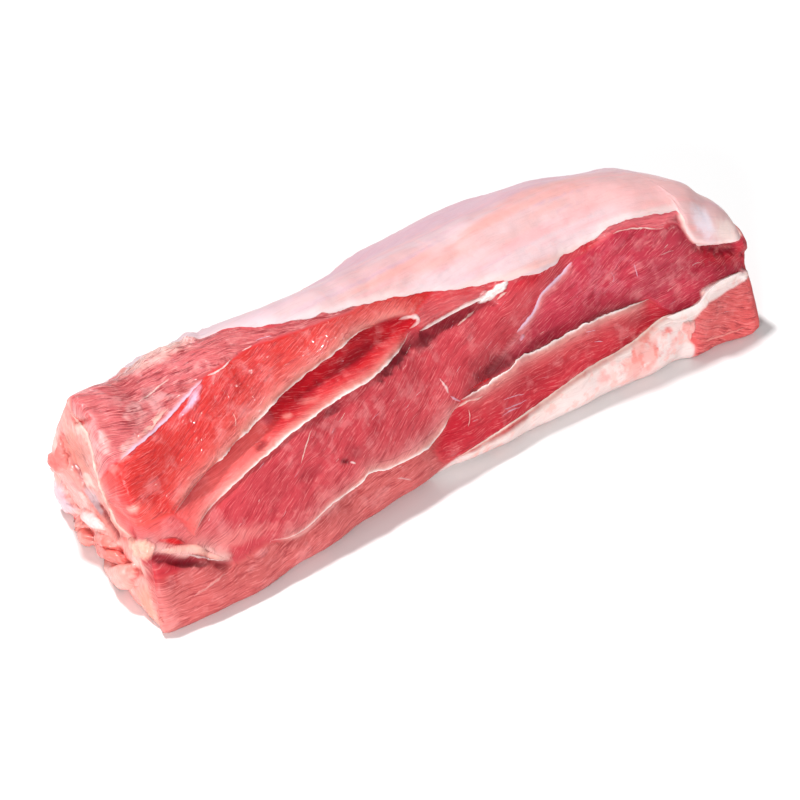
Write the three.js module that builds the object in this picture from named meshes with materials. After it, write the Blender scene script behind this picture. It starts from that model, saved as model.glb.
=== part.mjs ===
// Veal shoulder roast: one long boneless block of raw shoulder meat, trimmed square at one end.
// Millimetres, +Z up. X runs along the roast from the thick trimmed end to the narrow tail,
// -Y is the cut side where the muscles show, and Z = 0 is the face that the roast lies on.
import * as THREE from "three";

// Driving dimensions
const LENGTH = 290;
const FRONT = 58; // furthest reach of the cut side from the long axis
const BACK = 52; // furthest reach of the rounded back
const HEIGHT = 75; // crown above the face that the roast lies on

// Ends
const TRIM_SLANT = 0.22; // the trimmed face runs back by this much per mm towards the rounded back
const TRIM_SLANT_START = -40; // Y where the slant begins, at Z = 0
const TRIM_SLANT_RISE = 1.2; // how far the start moves towards the back per mm of height
const TRIM_SLANT_REACH = 60; // length of roast over which the slant dies out
const TRIM_ROUNDING = 0.8; // how far the rim of the trimmed face falls back
const TRIM_SHARPNESS = 7; // higher keeps more of the face flat
const TAIL_ROUNDING = 1.5;
const TAIL_SHARPNESS = 3;

// Shape of the cross-section along the roast. Each rail is a line from end to end, given as shares
// of FRONT (negative) or BACK (positive) and of HEIGHT at every station.
const STATIONS = [0, 0.09, 0.19, 0.345, 0.5, 0.655, 0.81, 0.914, 1]; // share of LENGTH
const RAILS = {
  toe: {
    y: [-0.95, -1, -0.98, -0.92, -0.85, -0.8, -0.82, -0.86, -0.91],
    z: [0.01, 0.02, 0.03, 0.04, 0.04, 0.04, 0.03, 0.02, 0.02],
  },
  shin: {
    y: [-0.92, -0.96, -0.95, -0.92, -0.86, -0.8, -0.82, -0.86, -0.9],
    z: [0.26, 0.29, 0.31, 0.32, 0.31, 0.29, 0.27, 0.23, 0.17],
  },
  cheek: {
    y: [-0.75, -0.77, -0.76, -0.74, -0.71, -0.73, -0.76, -0.8, -0.85],
    z: [0.55, 0.58, 0.62, 0.64, 0.62, 0.6, 0.58, 0.5, 0.33],
  },
  brow: {
    y: [-0.51, -0.49, -0.45, -0.42, -0.5, -0.63, -0.68, -0.7, -0.78],
    z: [0.79, 0.82, 0.86, 0.9, 0.86, 0.83, 0.85, 0.76, 0.53],
  },
  crown: {
    y: [-0.14, -0.14, -0.14, -0.17, -0.17, -0.21, -0.29, -0.42, -0.56],
    z: [0.96, 0.96, 0.96, 0.96, 0.97, 1, 0.96, 0.85, 0.59],
  },
  shoulder: {
    y: [0, 0.13, 0.2, 0.19, 0.21, 0.26, 0.19, 0.06, -0.2],
    z: [0.83, 0.78, 0.75, 0.74, 0.78, 0.85, 0.83, 0.73, 0.54],
  },
  flank: {
    y: [0.24, 0.54, 0.71, 0.75, 0.78, 0.82, 0.71, 0.5, 0.2],
    z: [0.47, 0.46, 0.45, 0.44, 0.46, 0.5, 0.5, 0.45, 0.34],
  },
  heel: {
    y: [0.5, 0.79, 0.92, 0.96, 0.98, 1, 0.9, 0.68, 0.38],
    z: [0.06, 0.05, 0.04, 0.04, 0.04, 0.04, 0.04, 0.04, 0.04],
  },
  sole: {
    y: [-0.3, -0.12, -0.05, 0, 0, 0, 0, -0.1, -0.3],
    z: [-0.03, -0.04, -0.05, -0.05, -0.05, -0.05, -0.05, -0.04, -0.03],
  },
};
const RAIL_NAMES = Object.keys(RAILS);
const RAIL_STEPS = [7, 9, 8, 7, 6, 6, 6, 5, 5]; // facets from each rail to the next, round the section

const ROWS = 84; // cross-sections along the roast
const TRIM_RINGS = 8; // rings across the trimmed face
const TAIL_RINGS = 3;
const SEAM_SAMPLES = 48; // points along a seam
const CURVE_SAMPLES = 400; // points along a rail

// Seams between the muscles. A path runs along the roast as [x, place], where place counts the rails
// round the section: 0 is the toe, 3 the brow, 4 the crown. depth and width are the groove's, and
// above and below are the swellings of the muscles on its two sides, which die out over reach.
const SEAMS = [
  {
    name: "flap gap",
    path: [[-17, 2.62], [-32, 2.55], [-55, 2.42], [-80, 2.24], [-102, 2.05], [-122, 1.78]],
    depth: 4.6, width: 5, above: 1.4, below: 1.4, reach: 10,
  },
  {
    name: "long seam",
    path: [[-96, 0.72], [-62, 0.8], [-32, 0.86], [-10, 1.12], [10, 1.3]],
    depth: 1.8, width: 4.2, above: 1.6, below: 0.3, reach: 10,
  },
  {
    name: "hollow above the long ridge",
    path: [[6, 1.5], [22, 1.66], [42, 1.76], [66, 1.86], [90, 1.8]],
    depth: 3, width: 6, above: 0.5, below: 2.4, reach: 6,
  },
  {
    name: "membrane seam",
    path: [[60, 2.95], [48, 2.66], [38, 2.3], [28, 1.92], [14, 1.58]],
    depth: 2.6, width: 5.5, above: 1.2, below: 0, reach: 12,
  },
  {
    name: "strand gap",
    path: [[-20, 2.36], [-6, 2.48], [8, 2.6], [24, 2.74]],
    depth: 3.4, width: 5, above: 1.2, below: 0, reach: 7,
  },
  {
    name: "fat shelf",
    path: [[30, 0.42], [52, 0.62], [78, 0.92], [98, 1.16], [113, 1.3]],
    depth: 2, width: 5, above: 0, below: 1.8, reach: 9,
  },
  {
    name: "tail hollow under the lip",
    path: [[108, 2.16], [124, 2.1], [138, 2.2], [150, 2.4]],
    depth: 3.6, width: 5.5, above: 2.4, below: 1.4, reach: 7,
  },
  {
    name: "step of the tail block",
    path: [[106, 0.15], [110, 0.7], [115, 1.24]],
    depth: 1.6, width: 3, above: 0, below: 1.4, reach: 10,
  },
  {
    name: "edge of the tail cap",
    path: [[120, 2.9], [126, 3.4], [131, 4.1], [132, 5]],
    depth: 2.4, width: 4.5, above: 0.6, below: 0.6, reach: 9,
  },
  {
    name: "pocket under the bulge",
    path: [[-150, 1.72], [-140, 1.6], [-128, 1.3], [-116, 1]],
    depth: 4, width: 4.5, above: 2, below: 1.2, reach: 12,
  },
  {
    name: "ridge of the top muscle",
    path: [[-150, 2.9], [-134, 3.03], [-118, 3.13], [-100, 3.24]],
    depth: 1.6, width: 4, above: 0.4, below: 1.6, reach: 12,
  },
];
const TAPER = 0.14; // share of a seam at each end over which it dies out

// Folded muscle ends on the trimmed face, as lumps (positive) and clefts (negative) at [y, z].
const TRIM_LUMPS = [
  { at: [-26, 50], radius: 14, rise: 1.5 },
  { at: [-8, 43], radius: 6, rise: -4 },
  { at: [-20, 34], radius: 6, rise: -4 },
  { at: [-34, 30], radius: 6, rise: -4.5 },
  { at: [8, 36], radius: 7, rise: 3.5 },
  { at: [1, 24], radius: 8, rise: 2 },
  { at: [-16, 21], radius: 8, rise: 3 },
  { at: [-32, 15], radius: 9, rise: 2 },
];

// Unevenness of hand-cut meat, as layers of [spacing, height] of rolling bumps.
const BUMPS = [[38, 1.6], [15, 1.1], [7, 0.5]];

const clamp01 = (v) => Math.min(1, Math.max(0, v));
const smoothStep = (v) => clamp01(v) ** 2 * (3 - 2 * clamp01(v));
const bell = (distance, width) => Math.exp(-((distance / width) ** 2));

// Smooth curve through values at the stations, as a function of the share along the roast.
function alongRoast(values) {
  const stations = STATIONS.map((share, i) => new THREE.Vector3(share, values[i], 0));
  const samples = new THREE.CatmullRomCurve3(stations).getPoints(CURVE_SAMPLES);
  return (share) => {
    const next = samples.findIndex((p, i) => i > 0 && p.x >= share);
    const i = next < 0 ? samples.length - 1 : next;
    const [a, b] = [samples[i - 1], samples[i]];
    return THREE.MathUtils.lerp(a.y, b.y, clamp01((share - a.x) / (b.x - a.x)));
  };
}

const acrossToMillimetres = (share) => share * (share < 0 ? FRONT : BACK);
const rails = RAIL_NAMES.map((name) => ({
  y: alongRoast(RAILS[name].y.map(acrossToMillimetres)),
  z: alongRoast(RAILS[name].z.map((share) => share * HEIGHT)),
}));

// The smooth closed outline of the section at x.
function sectionCurve(x) {
  const share = clamp01(x / LENGTH + 0.5);
  const points = rails.map((rail) => new THREE.Vector3(x, rail.y(share), rail.z(share)));
  return new THREE.CatmullRomCurve3(points, true);
}

// How far the trimmed face runs back at [y, z].
const slantAt = (p) =>
  TRIM_SLANT * Math.max(0, p.y - TRIM_SLANT_START - TRIM_SLANT_RISE * p.z);

// A point of the smooth form, before any seam, at x and a place round the section.
function formPoint(x, place, curve = sectionCurve(x)) {
  const p = curve.getPoint((place / RAIL_NAMES.length) % 1);
  p.x += slantAt(p) * (1 - smoothStep((x + LENGTH / 2) / TRIM_SLANT_REACH));
  return p;
}

const ringPlaces = RAIL_STEPS.flatMap((steps, rail) =>
  Array.from({ length: steps }, (_, i) => rail + i / steps),
);

function smoothRows() {
  const start = -LENGTH / 2 + TRIM_ROUNDING;
  const end = LENGTH / 2 - TAIL_ROUNDING;
  return Array.from({ length: ROWS + 1 }, (_, row) => {
    const x = THREE.MathUtils.lerp(start, end, row / ROWS);
    const curve = sectionCurve(x);
    return ringPlaces.map((place) => formPoint(x, place, curve));
  });
}

// Outward direction at every point of a grid of rows.
function rowNormals(rows) {
  const ring = ringPlaces.length;
  return rows.map((row, r) =>
    row.map((_, i) => {
      const along = rows[Math.min(r + 1, ROWS)][i].clone().sub(rows[Math.max(r - 1, 0)][i]);
      const round = row[(i + 1) % ring].clone().sub(row[(i + ring - 1) % ring]);
      return along.cross(round).normalize();
    }),
  );
}

// Points along a seam on the smooth form, with the direction that the seam runs in.
function traceSeam(seam) {
  const flat = new THREE.SplineCurve(seam.path.map(([x, place]) => new THREE.Vector2(x, place)));
  const points = flat.getPoints(SEAM_SAMPLES).map((p) => formPoint(p.x, p.y));
  return points.map((point, i) => ({
    point,
    share: i / SEAM_SAMPLES,
    ahead: points[Math.min(i + 1, SEAM_SAMPLES)].clone().sub(points[Math.max(i - 1, 0)]),
  }));
}

const tracedSeams = SEAMS.map((seam) => ({ ...seam, trace: traceSeam(seam) }));

// Height of one seam's groove and swellings at a point of the smooth form.
function seamRelief(seam, point, normal) {
  let nearest = seam.trace[0];
  let distance = Infinity;
  for (const sample of seam.trace) {
    const d = sample.point.distanceTo(point);
    if (d < distance) [nearest, distance] = [sample, d];
  }
  const upward = normal.clone().cross(nearest.ahead).normalize();
  const rise = upward.dot(point.clone().sub(nearest.point)) * Math.sign(nearest.ahead.x);
  const side = smoothStep(rise / seam.width / 2 + 0.5);
  const swelling = THREE.MathUtils.lerp(seam.below, seam.above, side) * bell(distance, seam.reach);
  const groove = seam.depth * bell(distance, seam.width);
  const ends = Math.min(nearest.share, 1 - nearest.share) / TAPER;
  return (swelling - groove) * clamp01(ends + 0.25);
}

// A fixed value between -1 and 1 for every whole-number point of a grid.
function gridValue(x, y, z) {
  const mixed = Math.sin(x * 127.1 + y * 311.7 + z * 74.7) * 43758.5453;
  return 2 * (mixed - Math.floor(mixed)) - 1;
}

// Smooth rolling bumps between the points of a grid.
function rollingBumps(p) {
  const [x, y, z] = [p.x, p.y, p.z].map(Math.floor);
  const ease = [p.x - x, p.y - y, p.z - z].map(smoothStep);
  let sum = 0;
  for (let corner = 0; corner < 8; corner += 1) {
    const step = [corner & 1, (corner >> 1) & 1, corner >> 2];
    const weight = step.reduce((w, s, axis) => w * (s ? ease[axis] : 1 - ease[axis]), 1);
    sum += weight * gridValue(x + step[0], y + step[1], z + step[2]);
  }
  return sum;
}

const unevenness = (p) =>
  BUMPS.reduce((sum, [spacing, height]) => {
    return sum + height * rollingBumps(p.clone().divideScalar(spacing));
  }, 0);

// The rows with seams and unevenness worked in, and with the underside laid flat.
function reliefRows(rows) {
  const normals = rowNormals(rows);
  return rows.map((row, r) =>
    row.map((p, i) => {
      const normal = normals[r][i];
      const seams = tracedSeams.reduce((sum, seam) => sum + seamRelief(seam, p, normal), 0);
      const moved = p.clone().addScaledVector(normal, seams + unevenness(p));
      moved.z = Math.max(0, p.z < 0 ? 0 : moved.z);
      return moved;
    }),
  );
}

// Rings from the middle of an end face out to its rim, without the rim itself.
function endRings(rim, count, heightAt) {
  const centre = new THREE.Vector3();
  rim.forEach((p) => centre.addScaledVector(p, 1 / rim.length));
  return Array.from({ length: count - 1 }, (_, k) => {
    const share = (k + 1) / count;
    return rim.map((p) => {
      const q = centre.clone().lerp(p, share);
      q.x += heightAt(q, share);
      q.z = Math.max(0, q.z);
      return q;
    });
  });
}

const trimmedHeight = (p, share) => {
  const lumps = TRIM_LUMPS.reduce((sum, { at: [y, z], radius, rise }) => {
    return sum + rise * bell(Math.hypot(p.y - y, p.z - z), radius);
  }, 0);
  return -(TRIM_ROUNDING + lumps) * (1 - share ** TRIM_SHARPNESS);
};

const tailHeight = (p, share) => TAIL_ROUNDING * (1 - share ** TAIL_SHARPNESS);

function closedGeometry(rows) {
  const ring = rows[0].length;
  const vertices = rows.flat();
  const index = [];
  for (let r = 0; r + 1 < rows.length; r += 1) {
    for (let i = 0; i < ring; i += 1) {
      const a = r * ring + i;
      const b = r * ring + ((i + 1) % ring);
      index.push(a, a + ring, b, b, a + ring, b + ring);
    }
  }
  const closeEnd = (row, facesForward) => {
    const centre = new THREE.Vector3();
    rows[row].forEach((p) => centre.addScaledVector(p, 1 / ring));
    const middle = vertices.push(centre) - 1;
    for (let i = 0; i < ring; i += 1) {
      const a = row * ring + i;
      const b = row * ring + ((i + 1) % ring);
      index.push(middle, facesForward ? b : a, facesForward ? a : b);
    }
  };
  closeEnd(0, false);
  closeEnd(rows.length - 1, true);
  const geometry = new THREE.BufferGeometry().setFromPoints(vertices);
  geometry.setIndex(index);
  return geometry;
}

function roastGeometry() {
  const body = reliefRows(smoothRows());
  const trimmedFace = endRings(body[0], TRIM_RINGS, trimmedHeight);
  const tailFace = endRings(body[ROWS], TAIL_RINGS, tailHeight);
  return closedGeometry([...trimmedFace, ...body, ...tailFace.reverse()]);
}

const meat = new THREE.Mesh(
  roastGeometry(),
  new THREE.MeshStandardMaterial({ color: 0xc4474f, roughness: 0.45, metalness: 0 }),
);
meat.name = "veal_shoulder";

const roast = new THREE.Group();
roast.add(meat);

export default roast;
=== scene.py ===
"""Looks of a raw veal shoulder roast: wet muscle, fascia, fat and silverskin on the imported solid."""

import math
from typing import NamedTuple

import bmesh
import bpy
import numpy as np
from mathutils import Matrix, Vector
from mathutils.bvhtree import BVHTree


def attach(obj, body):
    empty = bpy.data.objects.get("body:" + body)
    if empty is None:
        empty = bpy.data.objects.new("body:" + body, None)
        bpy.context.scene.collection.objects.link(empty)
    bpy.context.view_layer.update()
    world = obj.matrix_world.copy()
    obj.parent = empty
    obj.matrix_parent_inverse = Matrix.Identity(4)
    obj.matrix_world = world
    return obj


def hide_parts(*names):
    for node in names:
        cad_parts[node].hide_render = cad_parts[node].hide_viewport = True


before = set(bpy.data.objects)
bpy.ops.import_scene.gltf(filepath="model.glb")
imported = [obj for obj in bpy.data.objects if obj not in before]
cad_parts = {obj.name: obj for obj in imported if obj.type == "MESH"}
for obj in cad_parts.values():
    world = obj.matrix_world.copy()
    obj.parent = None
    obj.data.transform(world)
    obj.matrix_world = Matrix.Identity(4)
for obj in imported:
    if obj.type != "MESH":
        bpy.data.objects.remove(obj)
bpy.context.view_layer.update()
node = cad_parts["veal_shoulder"]

MM = 0.001  # metres in a millimetre; the working arrays below are in millimetres

# The photograph's camera, fitted to the roast. Pixels are those of its 800 x 800 frame.
PHOTO_SIDE = 800
FOCAL = 3188.1  # pixels
SENSOR = 36.0  # mm
VIEW_AZIMUTH = math.radians(-39.45)
VIEW_ELEVATION = math.radians(35.0)
VIEW_DISTANCE = 1150.0  # mm
VIEW_TARGET = np.array((-25.15, -39.34, 35.0))
PIXELS_PER_MM = FOCAL / VIEW_DISTANCE

view_back = np.array((
    math.sin(VIEW_AZIMUTH) * math.cos(VIEW_ELEVATION),
    -math.cos(VIEW_AZIMUTH) * math.cos(VIEW_ELEVATION),
    math.sin(VIEW_ELEVATION),
))
view_right = np.array((math.cos(VIEW_AZIMUTH), math.sin(VIEW_AZIMUTH), 0.0))
view_up = np.cross(view_back, view_right)
view_eye = VIEW_TARGET + VIEW_DISTANCE * view_back

# Lines that the photograph shows, in its pixels, from the trimmed end to the tail.
FLAP_EDGE = [(173, 514), (198, 481), (233, 443), (260, 414), (297, 379), (326, 357), (355, 333), (374, 325)]
BULGE_TIP = [(374, 325), (395, 317), (412, 316), (419, 321), (413, 328), (408, 331)]
TROUGH_RIDGE = [(193, 534), (209, 508), (247, 471), (291, 433), (338, 397), (369, 379), (400, 347),
                (408, 331)]
LONG_SEAM = [(270, 540), (298, 533), (334, 502), (360, 483), (369, 472), (396, 464), (431, 443), (452, 411),
             (460, 401)]
LONG_RIDGE = [(460, 401), (484, 387), (509, 369), (519, 359), (551, 344), (594, 320), (620, 310), (650, 299)]
FAT_LINE = [(456, 459), (498, 432), (540, 403), (582, 373), (630, 344), (659, 320), (678, 314), (692, 307),
            (701, 299), (703, 290), (727, 278), (745, 273)]
FAT_RIDGE = [(664, 319), (684, 311), (699, 302), (704, 293), (712, 285), (728, 277), (743, 272)]
CAP_EDGE = [(236, 327), (268, 326), (316, 316), (363, 305), (399, 297), (437, 291), (475, 287), (504, 281),
            (526, 276), (555, 265), (562, 256), (588, 243), (603, 232), (625, 221), (664, 213), (678, 211)]
LIP_EDGE = [(678, 212), (684, 228), (691, 240), (698, 245), (715, 244), (740, 241)]
UNDER_CAP = [(573, 261), (588, 251), (604, 240), (619, 230), (640, 227), (659, 229), (674, 223), (684, 228)]
MEMBRANE_SEAM = [(573, 261), (554, 281), (540, 296), (535, 309), (516, 334), (503, 352), (486, 378)]
STRAND = [(418, 331), (442, 317), (460, 307), (479, 298), (490, 290)]
LILAC_RIDGE = [(119, 461), (150, 435), (180, 405), (203, 378)]
BULGE_TOP = [(203, 378), (229, 361), (250, 347), (275, 338), (300, 330), (330, 319), (350, 312)]
FAT_POCKET = [(140, 556), (160, 553), (182, 558), (203, 553), (212, 560), (230, 561)]
END_CORNER = [(70, 412), (85, 430), (91, 446), (94, 462), (100, 483), (107, 503), (118, 524), (132, 537)]
BLOCK_CORNER = [(141, 562), (146, 580), (152, 603), (160, 626)]
END_CREVICE = [(60, 434), (67, 447), (73, 464), (80, 482), (88, 494), (100, 512), (110, 528), (120, 541)]
LOBE_LINE = [(68, 523), (84, 527), (98, 540), (112, 549), (124, 556)]
BLOCK_LINE = [(101, 557), (113, 560), (126, 563), (136, 572), (143, 570)]
END_SLIT = [(70, 421), (80, 422), (91, 417)]

# Small tools

CURVE_STEPS = 24  # steps from one point of a line to the next
OCTAVE_FADE = 0.55  # strength of each finer layer of noise
NOISE_PEAK = 1.4


def smooth_step(low, high, values):
    t = np.clip((values - low) / (high - low), 0.0, 1.0)
    return t * t * (3.0 - 2.0 * t)


def bell(values, width):
    return np.exp(-((values / width) ** 2))


def blend(old, new, share):
    share = share[..., None] if np.ndim(old) > np.ndim(share) else share
    return old + (np.asarray(new) - old) * share


def lattice_noise(places, seed):
    """Smooth noise between -1 and 1, one lattice cell per unit."""
    cell = np.floor(places).astype(np.int64)
    t = places - cell
    t = t * t * (3.0 - 2.0 * t)
    total = np.zeros(len(places))
    for corner in range(8):
        step = np.array((corner & 1, corner >> 1 & 1, corner >> 2))
        x, y, z = (cell + step).T
        mixed = (x * 374761393 + y * 668265263 + z * 1440662683 + seed * 974634777) & 0xFFFFFFFF
        mixed = ((mixed ^ (mixed >> 13)) * 1274126177) & 0xFFFFFFFF
        value = ((mixed ^ (mixed >> 16)) & 0xFFFF) / 32767.5 - 1.0
        total += value * np.prod(np.where(step, t, 1.0 - t), axis=1)
    return total


def noise(places, size, seed, octaves=3):
    """Layered noise whose largest bumps are about size apart; size may differ by axis."""
    scaled = places / np.asarray(size, float)
    total = sum(lattice_noise(scaled * 2.0 ** k, seed + 17 * k) * OCTAVE_FADE ** k for k in range(octaves))
    return total / NOISE_PEAK


def srgb(red, green, blue):
    """Linear colour from the usual 0 to 255 values."""
    c = np.array((red, green, blue)) / 255.0
    return np.where(c <= 0.04045, c / 12.92, ((c + 0.055) / 1.055) ** 2.4)


def to_pixels(places):
    offset = places - VIEW_TARGET
    depth = VIEW_DISTANCE - offset @ view_back
    across = PHOTO_SIDE / 2 + FOCAL * (offset @ view_right) / depth
    down = PHOTO_SIDE / 2 - FOCAL * (offset @ view_up) / depth
    return np.column_stack((across, down))


def smooth_line(line, step):
    """Catmull-Rom curve through a line's points, resampled at even steps."""
    p = np.array(line, float)
    p = np.vstack((2 * p[0] - p[1], p, 2 * p[-1] - p[-2]))
    t = np.linspace(0.0, 1.0, CURVE_STEPS, endpoint=False)[:, None]
    spans = []
    for a, b, c, d in zip(p, p[1:], p[2:], p[3:]):
        spans.append(0.5 * (2 * b + (c - a) * t + (2 * a - 5 * b + 4 * c - d) * t ** 2
                            + (3 * b - a - 3 * c + d) * t ** 3))
    fine = np.vstack(spans + [p[-2:-1]])
    length = np.concatenate(([0.0], np.cumsum(np.linalg.norm(np.diff(fine, axis=0), axis=1))))
    even = np.linspace(0.0, length[-1], max(2, int(length[-1] / step) + 1))
    return np.column_stack([np.interp(even, length, fine[:, k]) for k in range(fine.shape[1])])


def unit(vectors):
    return vectors / np.maximum(np.linalg.norm(vectors, axis=-1, keepdims=True), 1e-9)


def running_mean(rows, reach):
    padded = np.vstack((np.repeat(rows[:1], reach, axis=0), rows, np.repeat(rows[-1:], reach, axis=0)))
    return sum(padded[k:k + len(rows)] for k in range(2 * reach + 1)) / (2 * reach + 1)


def vertex_array(mesh, name):
    values = np.empty(len(mesh.vertices) * 3, np.float32)
    mesh.vertices.foreach_get(name, values)
    return values.reshape(-1, 3).astype(float)


class Surface:
    """A mesh to lay things on, in millimetres."""

    def __init__(self, mesh):
        mesh.calc_loop_triangles()
        self.places = vertex_array(mesh, "co") / MM
        self.triangles = np.array([t.vertices for t in mesh.loop_triangles])
        self.tree = BVHTree.FromPolygons(self.places.tolist(), self.triangles.tolist())

    def seen_at(self, pixel):
        """The point, the normal and the triangle that the photograph's camera sees at a pixel.

        Just outside the roast's outline it is the nearest point of the roast."""
        across = (pixel[0] - PHOTO_SIDE / 2) / FOCAL
        up = (PHOTO_SIDE / 2 - pixel[1]) / FOCAL
        eye = Vector(view_eye)
        ray = Vector(view_right * across + view_up * up - view_back)
        hit, normal, triangle, _ = self.tree.ray_cast(eye, ray)
        if hit is None:
            depth = VIEW_DISTANCE
            for _ in range(4):
                hit, normal, triangle, _ = self.tree.find_nearest(eye + ray * depth)
                depth = (eye - hit).dot(Vector(view_back))
        return np.array(hit), np.array(normal), triangle

    def seen(self, shown):
        """The same for an array of pixels."""
        found = [self.seen_at(pixel) for pixel in shown.reshape(-1, 2)]
        parts = [np.array(part) for part in zip(*found)]
        return [part.reshape(shown.shape[:-1] + part.shape[1:]) for part in parts]

    def line(self, pixel_line, step):
        """Points and normals along a line of pixels, at even steps in pixels."""
        return self.seen(smooth_line(pixel_line, step))[:2]

    def corners(self, places, triangle):
        """The corners of the triangles that places lie on, and the share that each corner has."""
        corner = self.triangles[triangle]
        a, b, c = np.moveaxis(self.places[corner], -2, 0)
        out = np.cross(b - a, c - a)
        whole = np.maximum((out * out).sum(-1), 1e-9)
        of_b = (np.cross(places - a, c - a) * out).sum(-1) / whole
        of_c = (np.cross(b - a, places - a) * out).sum(-1) / whole
        share = np.clip(np.stack((1.0 - of_b - of_c, of_b, of_c), axis=-1), 0.0, 1.0)
        return corner, share / share.sum(-1, keepdims=True)


# The body: a finer copy of the solid

MERGE = 1e-6  # m
JOIN_ANGLE = math.radians(60)
BODY_LEVELS = 2
SMOOTHINGS = 4
SMOOTHING = 0.5


def dense_copy(source, name):
    bm = bmesh.new()
    bm.from_mesh(source.data)
    bmesh.ops.remove_doubles(bm, verts=bm.verts, dist=MERGE)
    bmesh.ops.join_triangles(
        bm, faces=bm.faces, angle_face_threshold=JOIN_ANGLE, angle_shape_threshold=JOIN_ANGLE)
    coarse = bpy.data.meshes.new(name)
    bm.to_mesh(coarse)
    bm.free()
    obj = bpy.data.objects.new(name, coarse)
    bpy.context.scene.collection.objects.link(obj)
    smooth = obj.modifiers.new("smooth", "SUBSURF")
    smooth.levels = BODY_LEVELS
    evaluated = obj.evaluated_get(bpy.context.evaluated_depsgraph_get())
    obj.data = bpy.data.meshes.new_from_object(evaluated)
    obj.modifiers.clear()
    bm = bmesh.new()
    bm.from_mesh(obj.data)
    for _ in range(SMOOTHINGS):
        bmesh.ops.smooth_vert(
            bm, verts=bm.verts, factor=SMOOTHING, use_axis_x=True, use_axis_y=True, use_axis_z=True)
    bm.to_mesh(obj.data)
    bm.free()
    return obj


body = dense_copy(node, "veal_body")
points = vertex_array(body.data, "co") / MM
normals = vertex_array(body.data, "normal")
pixels = to_pixels(points)
smooth_surface = Surface(body.data)

# Unrolled places: x along the roast and mm round it, from the cut side over the top to the back.
ROUND = 50.0  # mm of the unrolled surface for each radian
SPLIT = math.radians(100)  # the unrolled surface is split under the roast, this far below the cut side
AXIS_STEPS = np.linspace(-130, 135, 12)
AXIS_RISE = 0.42  # height of the axis, as a share of the roast's height
SLICE = 6.0  # mm on either side of a section that count for its middle


def section_middle(x):
    near = points[np.abs(points[:, 0] - x) < SLICE]
    return (near[:, 1].min() + near[:, 1].max()) / 2, near[:, 2].max() * AXIS_RISE


axis_y, axis_z = np.array([section_middle(x) for x in AXIS_STEPS]).T


def unroll(places):
    x = places[:, 0]
    up = places[:, 2] - np.interp(x, AXIS_STEPS, axis_z)
    front = np.interp(x, AXIS_STEPS, axis_y) - places[:, 1]
    turn = np.arctan2(up, front)
    turn = np.where(turn < -SPLIT, turn + 2 * np.pi, turn)
    return np.column_stack((x, turn * ROUND))


unrolled = unroll(points)


def inside_outline(outline):
    """How far each point of the body lies inside an unrolled outline, in mm; negative outside."""
    x, y = unrolled.T
    nearest = np.full(len(x), np.inf)
    inside = np.zeros(len(x), bool)
    for a, b in zip(outline, np.roll(outline, -1, axis=0)):
        edge = b - a
        t = np.clip(((x - a[0]) * edge[0] + (y - a[1]) * edge[1]) / max(edge @ edge, 1e-9), 0.0, 1.0)
        nearest = np.minimum(nearest, np.hypot(x - a[0] - t * edge[0], y - a[1] - t * edge[1]))
        if a[1] != b[1]:
            crosses = (a[1] > y) != (b[1] > y)
            inside ^= crosses & (x < a[0] + (y - a[1]) * edge[0] / edge[1])
    return np.where(inside, nearest, -nearest)


LINE_STEP = 2.0  # pixels
LINE_IN, LINE_OUT = (-0.01, 0.08), (1.01, 0.92)  # shares of a line over which it fills and runs out


def seam_field(line, reach):
    """Signed distance to a line of pixels, in mm and positive above it, and how full the line is there."""
    on_line, _ = smooth_surface.line(line, LINE_STEP)
    tangents = unit(np.gradient(on_line, axis=0))
    near = np.all((points > on_line.min(0) - reach) & (points < on_line.max(0) + reach), axis=1)
    p = points[near]
    gaps = ((p[:, None] - on_line[None]) ** 2).sum(2)
    closest = gaps.argmin(1)
    offset = p - on_line[closest]
    above = (offset * np.cross(normals[near], tangents[closest])).sum(1) > 0
    gap = np.sqrt(gaps.min(1))
    signed = np.full(len(points), 1e3)
    signed[near] = np.where(above, gap, -gap)
    share = closest / (len(on_line) - 1)
    full = np.zeros(len(points))
    full[near] = smooth_step(*LINE_IN, share) * smooth_step(*LINE_OUT, share) * (gap < reach)
    return signed, full


# Painting: every point of a piece has a colour, a grain and a finish.

FIBRE_SPREAD = 37.0  # keeps the grain of one muscle apart from the next
DAMP = 0.2  # wetness of plain muscle


class Paint:
    def __init__(self, count, colour):
        self.tint = np.tile(np.asarray(colour, float), (count, 1))
        self.fibre = np.zeros((count, 3))
        self.streak = np.full(count, 1.0)  # strength of the grain
        self.wet = np.full(count, DAMP)
        self.fat = np.zeros(count)

    def lay(self, share, tint=None, streak=None, wet=None, fat=None):
        for name, value in (("tint", tint), ("streak", streak), ("wet", wet), ("fat", fat)):
            if value is not None:
                setattr(self, name, blend(getattr(self, name), value, share))

    @classmethod
    def joined(cls, paints):
        whole = cls(0, CRIMSON)
        for name in ("tint", "fibre", "streak", "wet", "fat"):
            setattr(whole, name, np.concatenate([getattr(p, name) for p in paints]))
        return whole

    def apply(self, obj):
        mesh = obj.data
        rgba = np.column_stack((np.clip(self.tint, 0.0, 1.0), np.ones(len(self.tint))))
        colour = mesh.attributes.new("tint", "FLOAT_COLOR", "POINT")
        colour.data.foreach_set("color", rgba.astype(np.float32).ravel())
        look = np.column_stack((self.streak, self.wet, self.fat))
        for name, values in (("fibre", self.fibre), ("look", look)):
            attribute = mesh.attributes.new(name, "FLOAT_VECTOR", "POINT")
            attribute.data.foreach_set("vector", values.astype(np.float32).ravel())


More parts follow.
